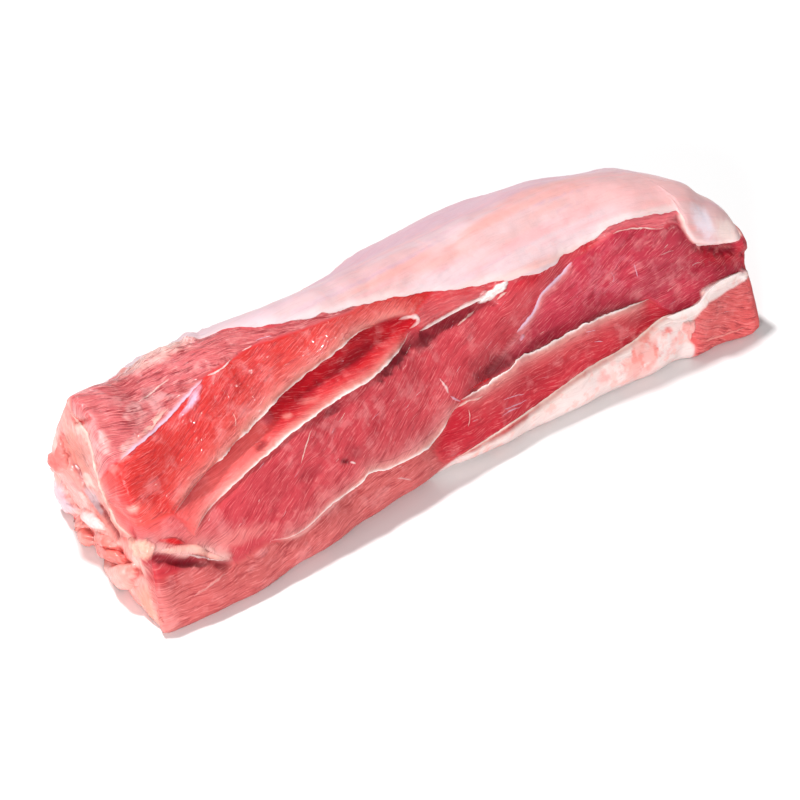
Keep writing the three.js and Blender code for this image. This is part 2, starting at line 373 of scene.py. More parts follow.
CRIMSON = srgb(199, 68, 77)
DEEP_CRIMSON = srgb(191, 52, 72)
ROSE = srgb(204, 96, 95)
SALMON = srgb(209, 42, 38)
MOIST_PINK = srgb(208, 90, 94)
BAND_RED = srgb(210, 66, 74)
WINE = srgb(204, 8, 26)
# colour of painted shade in grooves, hollows and under overhangs
SHADE_MAROON = srgb(104, 10, 28)
BLOOD = srgb(204, 16, 26)
BROWN_PINK = srgb(222, 90, 90)
FAT = srgb(238, 217, 214)
FAT_PINK = srgb(244, 160, 152)
CREAM = srgb(244, 217, 206)
WHITE = srgb(247, 231, 228)
LILAC = srgb(218, 184, 206)
SKIN = srgb(218, 176, 176)
SKIN_LILAC = srgb(206, 164, 180)
SKIN_WHITE = srgb(219, 194, 199)
SKIN_PALE = srgb(219, 198, 203)
PEACH = srgb(226, 164, 158)
END_PINK = srgb(239, 149, 140)
GLOW = srgb(243, 176, 152)
RED_MEAT = srgb(222, 84, 80)
DARK_GRAIN = srgb(140, 14, 32)
PALE_GRAIN = srgb(246, 158, 156)
HAZE = srgb(246, 170, 170)
FATTY = srgb(246, 170, 158)

UNDER = -95.0  # unrolled place under the roast
BEHIND = 110.0  # unrolled place behind the crown
NEAR, FAR = -170.0, 170.0  # unrolled places past the two ends

# Muscles and fat, laid over one another in this order. Each outline starts as a line of pixels and may be
# closed by unrolled places that the photograph doesn't show. grain is the direction of the fibres in the
# photograph at the pixel given, in degrees above its horizontal. soft is half the width of the border in mm.
REGIONS = [
    dict(line=[(203, 557), (228, 562)] + LONG_SEAM + LONG_RIDGE[1:] + [(678, 314)],
         close=[(FAR, -40), (FAR, UNDER), (NEAR, UNDER), (NEAR, -9)],
         tint=ROSE, grain=((300, 560), 22), streak=1.2),
    dict(line=[(452, 411), (460, 401)] + LONG_RIDGE[1:] + [(678, 314), (630, 344), (582, 373), (540, 403),
                                                          (498, 432), (450, 462), (436, 450)],
         tint=srgb(198, 36, 52), grain=((560, 370), 28), soft=3.0),
    dict(line=MEMBRANE_SEAM[::-1] + UNDER_CAP[1:] + [(698, 245)],
         close=[(FAR, 24), (FAR, -4), (119, -6), (104, -9), (93, 2), (43, 1), (23, -1)],
         tint=DEEP_CRIMSON, grain=((620, 270), 40), streak=1.2),
    dict(line=[(440, 474)] + FAT_LINE, close=[(FAR, 0), (FAR, UNDER), (-22, UNDER)],
         tint=FAT, grain=((560, 410), 30), streak=0.3, fat=1.0),
    dict(line=[(692, 344), (682, 328), (695, 314), (704, 305), (730, 288)],
         close=[(FAR, 0), (FAR, UNDER), (112, UNDER)],
         tint=BROWN_PINK, grain=((730, 310), 4), streak=1.5, wet=0.4),
    dict(line=FLAP_EDGE + BULGE_TIP[1:] + TROUGH_RIDGE[::-1][1:],
         tint=WINE, grain=((330, 375), 12), streak=0.8, wet=0.3),
    dict(line=[(173, 514), (198, 481), (233, 443), (262, 414), (270, 430), (247, 468), (209, 508),
               (193, 534)],
         tint=srgb(228, 91, 89), grain=((230, 470), 38), streak=0.6, soft=5.0),
    dict(line=FLAP_EDGE + BULGE_TIP[1:4] + [(432, 306), (437, 291), (350, 305)] + BULGE_TOP[::-1]
         + LILAC_RIDGE[::-1][1:], close=[(NEAR, 50), (NEAR, 14)],
         tint=SALMON, grain=((240, 410), 50), streak=1.2, wet=0.55),
    dict(line=LILAC_RIDGE + BULGE_TOP[1:] + [(363, 303), (316, 314), (268, 326), (236, 327)],
         close=[(-83, 75), (-90, BEHIND), (NEAR, BEHIND), (NEAR, 50)],
         tint=MOIST_PINK, grain=((180, 380), 24), streak=2.0, wet=1.0),
    dict(line=[(412, 316), (437, 289), (475, 285), (504, 279), (502, 286), (479, 300), (460, 308),
               (418, 331)],
         tint=BAND_RED, grain=((455, 300), 24), streak=0.8, wet=0.8),
    dict(line=UNDER_CAP[1:] + [(680, 208), (664, 208), (625, 214), (603, 226), (585, 240)],
         tint=srgb(228, 102, 111), grain=((630, 222), 16), wet=0.7),
    dict(line=LIP_EDGE[:5] + [(727, 241)], close=[(FAR, 24), (FAR, 60), (130, 50), (118, 44)],
         tint=srgb(250, 214, 206), grain=((705, 228), 8), streak=0.25, wet=0.3, fat=0.6),
]

CENTRAL_GRAIN = ((320, 470), 54)  # the muscle that none of them covers
END_GRAIN = (1.0, 0.6)  # direction of the grain on the two ends, up and across
GRAIN_STEP = 8.0  # pixels
FIBRE_SWAYS = [(30.0, 3.0), (7.0, 0.7)]  # length and height in mm of the waves that the fibres run in
BORDER_WANDER = 0.7  # mm
SOFT_BORDER = 0.8  # mm, where a region gives none
OUTLINE_STEP = 3.0  # pixels

paint = Paint(len(points), CRIMSON)
height = np.zeros(len(points))
ragged = noise(points, 4.0, 3)


def fibre_way(pixel, degrees):
    """Unrolled direction of fibres that the photograph shows at an angle."""
    angle = math.radians(degrees)
    step = np.array((math.cos(angle), -math.sin(angle))) * GRAIN_STEP
    ends = np.array([smooth_surface.seen_at(np.array(pixel) + s * step)[0] for s in (-1, 1)])
    return unit(np.diff(unroll(ends), axis=0)[0])


def fibre_places(places, number):
    """Lengths along and across the fibres of the numbered muscles, in mm."""
    bent = np.where((number == END_CUT)[:, None], places[:, 2:0:-1], unroll(places))
    for size, sway in FIBRE_SWAYS:
        bent = bent + sway * np.column_stack((noise(places, size, 7), noise(places, size, 8)))
    along = fibre_ways[number]
    across = along[:, ::-1] * (-1.0, 1.0)
    return np.column_stack(((bent * along).sum(1), (bent * across).sum(1), number * FIBRE_SPREAD))


END_CUT = len(REGIONS) + 1  # number of the two ends, whose grain lies in their own plane
fibre_ways = [fibre_way(*CENTRAL_GRAIN)] + [fibre_way(*region["grain"]) for region in REGIONS]
fibre_ways = np.array(fibre_ways + [unit(np.array(END_GRAIN))])
muscle = np.zeros(len(points), int)
for number, region in enumerate(REGIONS, 1):
    outline = unroll(smooth_surface.line(region["line"], OUTLINE_STEP)[0])
    if "close" in region:
        outline = np.vstack((outline, np.array(region["close"], float)))
    depth_inside = inside_outline(outline) + BORDER_WANDER * ragged
    soft = region.get("soft", SOFT_BORDER)
    share = smooth_step(-soft, soft, depth_inside)
    finish = region.get("streak", 1.0), region.get("wet", DAMP), region.get("fat", 0.0)
    paint.lay(share, region["tint"], *finish)
    muscle[share > 0.5] = number


def veil(size, seed, low, high):
    """Blotches of about a size in mm, between 0 and 1."""
    return smooth_step(low, high, noise(points, size, seed))


# The two ends. Each begins where the surface turns towards it and over some mm along the roast.
TRIM_TURN, TRIM_X = (0.45, 0.8), (-128.0, -134.0)
TAIL_TURN, TAIL_X = (0.45, 0.75), (122.0, 134.0)
CORNER_BLEND = (3.0, -1.0)  # pixels across the corner with the cut side
TRIM_CRAGS = 0.5  # mm

end_share = smooth_step(*TRIM_TURN, -normals[:, 0]) * smooth_step(*TRIM_X, points[:, 0])
corner_x, corner_y = np.array(END_CORNER + BLOCK_CORNER).T
end_share *= smooth_step(*CORNER_BLEND, pixels[:, 0] - np.interp(pixels[:, 1], corner_y, corner_x))
paint.lay(end_share, END_PINK, streak=0.7, wet=0.7, fat=0.5)
paint.lay(end_share * 0.55 * veil(6.0, 12, 0.0, 0.45), CREAM)
paint.lay(end_share * 0.6 * veil(5.0, 13, 0.05, 0.5), RED_MEAT)
height += end_share * TRIM_CRAGS * noise(points, 3.0, 14)

tail_share = smooth_step(*TAIL_TURN, normals[:, 0]) * smooth_step(*TAIL_X, points[:, 0])
paint.lay(tail_share, ROSE, streak=0.7, wet=0.4, fat=0.1)
paint.lay(tail_share * 0.7 * veil(17.0, 61, 0.0, 0.5), DEEP_CRIMSON)
paint.lay(tail_share * 0.45 * veil((30.0, 8.0, 4.0), 62, 0.15, 0.6), FAT_PINK)
muscle[(end_share > 0.5) | (tail_share > 0.5)] = END_CUT
paint.fibre = fibre_places(points, muscle)

# Seams. On one side of the line, +1 above it and -1 below it, a pale lip stands, and on the other a groove
# lies, darkened with painted shade. Each row has the line, that side, the lip's rise and its reach, the lip's
# paleness and its reach, the strength of the painted shade in the groove and its reach, and the groove's
# depth.
# Lengths are in mm.
SEAMS = [
    (FLAP_EDGE + BULGE_TIP[1:4], 1, 1.2, 5.0, 0.4, 3.0, 0.75, 3.0, 1.6),
    (TROUGH_RIDGE, 1, 0.9, 3.0, 0.5, 1.6, 0.45, 2.0, 0.9),
    (LONG_SEAM, 1, 0.8, 4.0, 0.45, 3.0, 0.3, 1.5, 0.6),
    (LONG_RIDGE, -1, 0.9, 3.0, 0.45, 3.0, 0.6, 4.0, 1.2),
    (FAT_LINE, -1, 0.8, 3.0, 0.5, 2.0, 0.35, 2.5, 0.5),
    (MEMBRANE_SEAM, 1, 0.5, 3.0, 0.25, 2.0, 0.35, 3.0, 0.6),
    (STRAND, 1, 0.8, 3.0, 0.1, 2.0, 0.8, 5.0, 1.8),
    (CAP_EDGE, 1, 0.0, 2.0, 0.0, 1.0, 0.25, 2.5, 0.5),
    (LIP_EDGE, 1, 0.8, 3.0, 0.3, 2.0, 0.7, 4.0, 1.5),
    (FAT_POCKET, 1, 1.4, 4.0, 0.7, 4.0, 0.9, 2.6, 2.4),
    (END_CORNER, 1, 0.5, 3.0, 0.6, 2.5, 0.2, 2.0, 0.6),
    (BLOCK_CORNER, 1, 0.4, 2.0, 0.5, 3.0, 0.0, 2.0, 0.0),
]
SEAM_REACH = 14.0  # mm
SEAM_SLOPE = 1.4  # mm on either side over which the meat steps down; the fascia on it has the crisp edge
SEAM_WANDER = 0.25  # mm

for line, side, rise, rise_reach, pale, pale_reach, painted_shade, shade_and_groove_reach, depth in SEAMS:
    signed, full = seam_field(line, SEAM_REACH)
    signed = signed * side + SEAM_WANDER * ragged
    gap = np.abs(signed)
    standing = full * smooth_step(-SEAM_SLOPE, SEAM_SLOPE, signed)
    lying = full - standing
    height += rise * standing * np.exp(-gap / rise_reach)
    height -= depth * lying * np.exp(-gap / shade_and_groove_reach)
    paint.lay(standing * pale * np.exp(-gap / pale_reach), CREAM)
    # painted shade: the groove's side of the seam is darkened with a maroon tint
    paint.lay(lying * painted_shade * np.exp(-gap / shade_and_groove_reach), SHADE_MAROON)

# Cuts that part two lobes, darkened with painted shade: line, depth and width in mm, colour of the shade
CUTS = [
    (END_CREVICE, 2.6, 1.6, srgb(140, 30, 40)),
    (LOBE_LINE, 2.2, 1.5, srgb(190, 60, 60)),
    (BLOCK_LINE, 2.0, 1.5, srgb(190, 60, 56)),
    (END_SLIT, 1.8, 1.2, srgb(190, 30, 36)),
]
CUT_WANDER = 0.3  # mm
CUT_SHADE_SHARE = 0.85  # strength of a cut's colour

for line, depth, width, tint in CUTS:
    signed, full = seam_field(line, SEAM_REACH)
    groove = full * bell(signed + CUT_WANDER * ragged, width)
    height -= depth * groove
    # painted shade in the cut
    paint.lay(groove * CUT_SHADE_SHARE, tint)


class Patch(NamedTuple):
    """A soft spot of colour and relief on the side that the photograph shows."""

    at: tuple  # pixel
    size: tuple  # half sizes in pixels
    tilt: float  # degrees above the photograph's horizontal
    tint: np.ndarray
    share: float
    rise: float = 0.0  # mm
    crags: float = 0.0  # mm
    spots: float = 0.0  # size in mm of the blotches that it breaks up into; 0 leaves it whole
    wet: float | None = None


PATCHES = [
    # hollows and places under overhangs, darkened with painted shade; the tail's recess also gets pale
    # specks, a red knob and the white tip of the fat ridge, and a blood-red spot lies under the fat pocket
    Patch((498, 366), (26, 10), 40, SHADE_MAROON, 0.65, -1.2),
    Patch((545, 337), (30, 5), 28, SHADE_MAROON, 0.4, -0.5),
    Patch((397, 361), (27, 8), 47, SHADE_MAROON, 0.85, -1.6),
    Patch((424, 341), (15, 12), 50, SHADE_MAROON, 0.7, -1.0),
    Patch((455, 320), (28, 7), 28, SHADE_MAROON, 0.6, -1.0),
    Patch((346, 461), (6, 4), 10, SHADE_MAROON, 0.7, -1.0),
    Patch((357, 453), (12, 8), 30, SHADE_MAROON, 0.3, -0.4),
    Patch((312, 474), (14, 8), 30, SHADE_MAROON, 0.3, -0.4),
    Patch((352, 360), (44, 9), 36, SHADE_MAROON, 0.5, -0.8),
    Patch((306, 396), (30, 7), 40, SHADE_MAROON, 0.4, -0.5),
    Patch((335, 408), (13, 5), 40, SHADE_MAROON, 0.55, -0.8),
    # painted shade in the tail's recess under the lip
    Patch((720, 256), (30, 12), -6, srgb(176, 12, 34), 0.8, -0.6, crags=0.5),
    Patch((720, 250), (26, 7), -4, SHADE_MAROON, 0.8, -1.2, crags=0.9),
    Patch((716, 251), (24, 7), -4, srgb(214, 120, 118), 0.5, spots=2.6),
    Patch((742, 251), (6, 11), 0, srgb(190, 40, 54), 0.7, 0.8, crags=1.0),
    Patch((748, 273), (9, 6), 20, WHITE, 0.9, 2.0),
    # painted shade on the right muscle
    Patch((658, 276), (26, 20), 30, srgb(150, 52, 66), 0.45, -0.4),
    Patch((184, 563), (28, 5), -3, SHADE_MAROON, 0.75, -1.6),
    Patch((160, 574), (18, 9), 30, srgb(190, 24, 40), 0.6),
    Patch((545, 372), (44, 8), 30, SHADE_MAROON, 0.22),
    Patch((640, 318), (36, 6), 22, SHADE_MAROON, 0.25),
    # pale and hazy places
    Patch((140, 516), (32, 16), -20, srgb(240, 92, 86), 0.6),
    Patch((134, 508), (7, 5), 20, srgb(250, 176, 164), 0.7, crags=0.4),
    Patch((122, 500), (14, 4), -8, BLOOD, 0.45),
    Patch((235, 536), (34, 10), 20, srgb(236, 150, 144), 0.45),
    Patch((150, 398), (50, 14), 26, srgb(244, 190, 190), 0.7, crags=0.5, spots=4.0),
    Patch((112, 430), (36, 18), 34, srgb(244, 192, 188), 0.7, crags=0.5, spots=4.0),
    Patch((150, 385), (60, 20), 26, srgb(172, 40, 50), 0.6, crags=0.5, spots=4.0),
    Patch((236, 385), (36, 26), 30, srgb(196, 40, 44), 0.45, wet=1.0, crags=0.8, spots=4.0),
    Patch((103, 447), (12, 30), 22, srgb(244, 190, 184), 0.6, crags=0.4, spots=3.5),
    Patch((128, 448), (16, 8), 40, srgb(246, 206, 200), 0.6, crags=0.3, spots=3.0),
    Patch((158, 356), (46, 8), 27, srgb(242, 196, 186), 0.9, 1.6, crags=1.0),
    Patch((190, 341), (9, 6), 40, srgb(244, 196, 188), 0.8, 1.4, crags=0.8),
    Patch((350, 425), (64, 40), 40, srgb(232, 140, 142), 0.35, crags=0.4, spots=3.2),
    Patch((610, 275), (64, 34), 25, srgb(222, 124, 138), 0.3, crags=0.3, spots=3.0),
    Patch((300, 510), (50, 24), 25, srgb(236, 142, 140), 0.35, crags=0.3, spots=3.0),
    # blood
    Patch((525, 427), (5, 3), 30, srgb(240, 96, 84), 0.7),
    Patch((640, 349), (44, 17), 34, srgb(238, 84, 76), 0.8, spots=2.6),
    Patch((642, 352), (44, 17), 34, FAT_PINK, 0.7, spots=6.0),
    Patch((490, 446), (34, 6), 32, FAT_PINK, 0.7, spots=3.0),
    # painted shade in a small hollow
    Patch((262, 446), (9, 4), 45, SHADE_MAROON, 0.6, -0.8),
    Patch((266, 418), (8, 8), 0, srgb(176, 66, 76), 0.8, 0.8),
    Patch((310, 400), (11, 4), 10, srgb(222, 128, 122), 0.6),
    Patch((288, 416), (6, 3), 10, srgb(230, 150, 140), 0.6),
    Patch((590, 244), (12, 5), 38, BLOOD, 0.6, crags=0.5),
    Patch((450, 293), (34, 6), 12, BLOOD, 0.4),
    Patch((530, 281), (24, 6), 24, srgb(196, 18, 38), 0.55, crags=0.5),
    Patch((172, 541), (15, 4), -4, BLOOD, 0.9),
]
PATCH_REACH = 2.2  # a patch touches nothing farther than this many times its half size
PATCH_BORDER = (1.3, 0.3)  # shares of the half size between which it fades in
PATCH_RAGGED = 0.35
PATCH_TURN = (-0.3, 0.05)  # it fades out where the surface turns from the photograph's camera

gravel = noise(points, 2.6, 51, 3)


def patch_share(places, out, patch):
    """How much of a patch lies at each place; out are the normals."""
    centre = smooth_surface.seen_at(patch.at)[0]
    reach = PATCH_REACH * max(patch.size) / PIXELS_PER_MM
    near = np.linalg.norm(places - centre, axis=1) < reach
    tilt = math.radians(patch.tilt)
    offset = (to_pixels(places[near]) - patch.at) * (1.0, -1.0)
    along = offset @ (math.cos(tilt), math.sin(tilt)) / patch.size[0]
    across = offset @ (-math.sin(tilt), math.cos(tilt)) / patch.size[1]
    share = np.zeros(len(places))
    edge = PATCH_RAGGED * noise(places[near], 0.7 * min(patch.size) / PIXELS_PER_MM + 0.6, 53, 3)
    share[near] = smooth_step(*PATCH_BORDER, np.hypot(along, across) + edge)
    share[near] *= smooth_step(*PATCH_TURN, out[near] @ view_back)
    if patch.spots:
        share[near] *= smooth_step(0.0, 0.4, noise(places[near], patch.spots, 57))
    return share


for patch in PATCHES:
    share = patch_share(points, normals, patch)
    paint.lay(share * patch.share, patch.tint)
    paint.lay(share, wet=patch.wet)
    height += share * (patch.rise + patch.crags * gravel)

# No grain where two muscles meet, as theirs don't match, and little of the wetness
BORDER_WET = 0.2
edge_ends = np.empty(len(body.data.edges) * 2, int)
body.data.edges.foreach_get("vertices", edge_ends)
edge_ends = edge_ends.reshape(-1, 2)
on_border = edge_ends[muscle[edge_ends[:, 0]] != muscle[edge_ends[:, 1]]].ravel()
paint.streak[on_border] = 0.0
paint.wet[on_border] *= BORDER_WET

# Broad unevenness of colour
MOTTLE = 0.12
paint.tint *= (1.0 + MOTTLE * noise(points, 18.0, 11))[:, None]

# Shape
TAIL_FULLNESS = 0.8  # mm that the torn tail stands out
FULL_TURN, FULL_X = (0.3, 0.75), (122.0, 136.0)  # as for the ends' colours
height += TAIL_FULLNESS * smooth_step(*FULL_TURN, normals[:, 0]) * smooth_step(*FULL_X, points[:, 0])
# Rise of the crown in mm, by the photograph's columns; a notch parts it from the lip
CROWN_RISE = [(340, 0.0), (360, -1.0), (390, -0.5), (470, -0.5), (495, 0.0), (530, -0.4), (570, -2.2),
              (590, -2.5), (612, -0.6), (630, 0.0), (685, -0.3), (707, -3.4), (726, 0.0)]
CROWN_PLACE, CROWN_REACH = 100.0, 35.0  # unrolled
# Rise of the cut side's foot in mm, by the photograph's columns
FOOT_RISE = [(150, 4.0), (200, 3.9), (250, 3.0), (310, 3.0), (335, 2.4), (352, 0.8), (372, 0.0), (395, -0.8),
             (435, -1.2), (455, 0.0), (500, 2.6), (700, 3.0), (745, 1.5)]
FOOT_TOP, FOOT_FULL = 6.0, -24.0  # unrolled places between which the foot grows
FOOT_TURN = (0.25, 0.65)  # it grows where the surface faces the cut side


def by_column(rises):
    column, rise = np.array(rises).T
    return np.interp(pixels[:, 0], column, rise)


height += by_column(CROWN_RISE) * bell(unrolled[:, 1] - CROWN_PLACE, CROWN_REACH)
foot_share = smooth_step(FOOT_TOP, FOOT_FULL, unrolled[:, 1]) * smooth_step(*FOOT_TURN, -normals[:, 1])
height += by_column(FOOT_RISE) * foot_share
CORNER_X, CORNER_REACH, CORNER_CRAGS = -127.0, 13.0, 1.0  # mm; the uneven corner of the trimmed end
height += CORNER_CRAGS * bell(points[:, 0] - CORNER_X, CORNER_REACH) * noise(points, 15.0, 77, 2)
CRAGS = 0.3  # mm
FIBRE_RELIEF = 0.2  # mm
height += CRAGS * noise(points, 9.0, 5, 4)
height += FIBRE_RELIEF * paint.streak * noise(paint.fibre, (16.0, 2.2, 1.0), 23, 2)
points += normals * height[:, None]
points[:, 2] = np.maximum(points[:, 2], 0.0)
body.data.vertices.foreach_set("co", (points * MM).astype(np.float32).ravel())
body.data.update()
paint.apply(body)
surface = Surface(body.data)

# Pieces laid on the body

ROOT_DEPTH = 0.9  # mm that laid pieces reach into the meat


class Piece:
    """A piece made of closed slabs that are rooted in the meat."""

    def __init__(self, name):
        self.name = name
        self.places, self.faces, self.paints = [], [], []
        self.count = 0

    def add(self, places, out, lift, laid):
        """A slab on a grid of places, its top lifted along the normals out; lengths in mm."""
        size = lift.size
        number = np.arange(size).reshape(lift.shape)
        quads = np.stack((number[:-1, :-1], number[1:, :-1], number[1:, 1:], number[:-1, 1:]), axis=-1)
        quads = quads.reshape(-1, 4)
        rim = np.concatenate((number[0, :-1], number[:-1, -1], number[-1, :0:-1], number[:0:-1, 0]))
        after = np.roll(rim, -1)
        wall = np.stack((rim, after, after + size, rim + size), axis=-1)
        self.faces.append(np.vstack((quads, quads[:, ::-1] + size, wall)) + self.count)
        for grid in (places + out * lift[..., None], places - out * ROOT_DEPTH):
            flat = grid.reshape(-1, 3)
            self.places.append(np.column_stack((flat[:, :2], np.maximum(flat[:, 2], 0.0))))
        self.paints += [laid, laid]
        self.count += 2 * size

    def make(self):
        mesh = bpy.data.meshes.new(self.name)
        mesh.from_pydata((np.vstack(self.places) * MM).tolist(), [], np.vstack(self.faces).tolist())
        bm = bmesh.new()
        bm.from_mesh(mesh)
        bmesh.ops.recalc_face_normals(bm, faces=bm.faces)
        bm.to_mesh(mesh)
        bm.free()
        obj = bpy.data.objects.new(self.name, mesh)
        bpy.context.scene.collection.objects.link(obj)
        Paint.joined(self.paints).apply(obj)
        return obj


RIBBON_STEP = 1.0  # pixels
RIBBON_COLUMNS = 18
RIBBON_CROWD = 1.6  # crowds the columns towards the crisp edge
RIBBON_STEADY = 12  # neighbours over which the rows of a ribbon turn
THIN = 0.18  # mm that a ribbon's feather lies above the meat
EDGE_REACH = 1.4  # mm of a ribbon beside its crisp edge that bridge the step in the meat
RIBBON_END = 0.15  # share of the line over which a ribbon runs out
RIBBON_UNEVEN, RIBBON_WAVE = 0.35, 12.0  # share by which width and streaks vary, and mm from wide to wide
RIBBON_STREAK = (1.6, 5.0, 1.0)  # mm along and across a streak of its colour
TOOTH = 2.8  # mm from tooth to tooth of the crisp edge
OVERHANG = 0.3  # mm that the crisp edge lies past the line
BRIDGE = (2.4, 1.2)  # mm from the crisp edge between which a ribbon leaves the meat
ROUNDING, ROUNDED = 0.25, 0.2  # share of the rise that the rounded edge loses, and mm over which it does
RISE_REACH, GLOW_REACH = 0.6, 0.3  # shares of the feather that the rise and the pink glow reach over
GLOW_SHARE = 0.55
LEAST_PALE = 0.25  # share of the edge's colour that is left at the ends of the line
FEATHER_SUNK = 0.5  # mm that the feather sinks at its border
LEAST_TAPER = 0.08  # share of the thickness that is left at the ends of a ribbon or fleck

# Fascia along the seams. Each row has the name, the line, the side of it on which the feather lies, the reach
# of the feather over the muscle, the width and rise of the white edge and the height of its teeth, all in
# mm, the colour, and the share of the line over which the ribbon grows to its full width.
RIBBONS = [
    ("flap_fascia", FLAP_EDGE, 1, 4.6, 0.8, 0.3, 0.65, WHITE, 0.3),
    ("trough_fascia", TROUGH_RIDGE, 1, 4.0, 0.85, 0.35, 0.5, WHITE, 0.5),
    ("long_seam_fascia", LONG_SEAM, 1, 4.2, 0.9, 0.3, 0.5, WHITE, 0.5),
    ("long_ridge_fascia", LONG_RIDGE, -1, 3.4, 0.75, 0.35, 0.75, WHITE, 0.15),
    ("fat_line", FAT_LINE[:9], -1, 3.5, 0.8, 0.25, 0.3, CREAM, 0.15),
    ("membrane", MEMBRANE_SEAM[:5], 1, 3.4, 1.1, 0.12, 0.4, LILAC, 0.15),
    ("ridge_membrane", LILAC_RIDGE, 1, 4.4, 1.2, 0.15, 0.5, LILAC, 0.15),
    ("tail_fat_ridge", FAT_RIDGE, -1, 3.8, 2.8, 1.2, 0.2, WHITE, 0.15),
    ("strand", STRAND, 1, 2.6, 1.5, 0.9, 0.4, WHITE, 0.15),
    ("end_rim", END_CORNER, -1, 5.0, 1.7, 0.2, 0.9, srgb(246, 196, 184), 0.15),
]


def laid_rows(centre, normal, offset, side=1, steady=2):
    """Places on the meat beside a line, the normals there and the triangles they lie on.

    offset holds, for each point of the line, the mm across the line of a row of places. The rows turn evenly
    over a number of neighbours given by steady."""
    centre, normal = running_mean(centre, 2), unit(running_mean(normal, 8))
    across = unit(running_mean(np.cross(normal, unit(np.gradient(centre, axis=0))), steady)) * side
    places = np.empty(offset.shape + (3,))
    out = np.empty_like(places)
    triangle = np.empty(offset.shape, int)
    for i, row in enumerate(offset):
        order = np.argsort(np.abs(row))
        for one_side in (order[row[order] >= 0.0], order[row[order] < 0.0]):
            here, up, walked = Vector(centre[i]), Vector(normal[i]), 0.0
            for j in one_side:
                way = Vector(across[i])
                way = (way - up * way.dot(up)).normalized()
                here, up, face, _ = surface.tree.find_nearest(here + way * (row[j] - walked))
                walked = row[j]
                places[i, j], out[i, j], triangle[i, j] = here, up, face
    return places, unit(running_mean(out, 5)), triangle


def meat_paint(places, triangle):
    """The meat's own paint at places on its triangles."""
    places = places.reshape(-1, 3)
    corner, share = surface.corners(places, triangle.ravel())
    laid = Paint(len(places), CRIMSON)
    laid.tint = (paint.tint[corner] * share[..., None]).sum(1)
    for name in ("streak", "wet", "fat"):
        setattr(laid, name, (getattr(paint, name)[corner] * share).sum(1))
    nearest = np.take_along_axis(corner, share.argmax(1)[:, None], axis=1)[:, 0]
    laid.fibre = fibre_places(places, muscle[nearest])
    return laid


def ends_taper(share, first, last):
    """Thickness along a line that is full between the first and the last share of it."""
    full = np.sqrt(smooth_step(0.0, first, share) * smooth_step(1.0, 1.0 - last, share))
    return LEAST_TAPER + (1.0 - LEAST_TAPER) * full


def ribbon(name, line, side, feather, core, rise, teeth, tint, first):
    seed = len(name)
    gap = feather * np.linspace(1.0, 0.0, RIBBON_COLUMNS) ** RIBBON_CROWD
    centre, normal = surface.line(line, RIBBON_STEP)
    taper = ends_taper(np.linspace(0.0, 1.0, len(centre)), first, RIBBON_END)[:, None]
    wide = 1.0 + RIBBON_UNEVEN * noise(centre, RIBBON_WAVE, seed, 2)[:, None]
    jag = teeth * noise(centre, TOOTH, seed + 5, 4)[:, None] * smooth_step(EDGE_REACH, 0.0, gap)
    offset = (gap * wide + jag) * taper - OVERHANG
    places, out, triangle = laid_rows(centre, normal, offset, side, RIBBON_STEADY)
    laid = meat_paint(places, triangle)
    fold = np.argmax(gap < EDGE_REACH)
    even = running_mean(places, 4)
    onward = unit(even[:, fold] - even[:, fold - 3])
    beyond = offset[:, fold, None] - offset[:, fold:]
    even[:, fold:] = even[:, fold, None] + onward[:, None] * beyond[..., None]
    out[:, fold:] = out[:, fold, None]
    shape = blend(running_mean(places, 2), even, smooth_step(*BRIDGE, gap))
    rounded = 1.0 - ROUNDING * smooth_step(ROUNDED, 0.0, gap)
    lift = THIN + rise * taper * smooth_step(RISE_REACH, 0.0, gap / feather) * rounded
    lift = lift - FEATHER_SUNK * smooth_step(0.9, 1.0, gap / feather)
    run = np.arange(len(places)) * RIBBON_STEP / PIXELS_PER_MM
    spot = np.stack(np.broadcast_arrays(run[:, None], gap, 0.0), axis=-1)
    streaks = 1.0 + RIBBON_UNEVEN * noise(spot.reshape(-1, 3), RIBBON_STREAK, seed).reshape(offset.shape)
    glow = GLOW_SHARE * np.exp(-gap * streaks / (GLOW_REACH * feather))
    glow = glow * smooth_step(1.0, 0.7, gap / feather) * taper
    pale = np.exp(-(gap * streaks / core) ** 2) * (LEAST_PALE + (1.0 - LEAST_PALE) * taper)
    laid.lay(glow.ravel(), GLOW, streak=0.3)
    laid.lay(pale.ravel(), tint, streak=0.05, wet=0.25, fat=0.3)
    made = Piece(name)
    made.add(shape, out, lift, laid)
    return made.make()


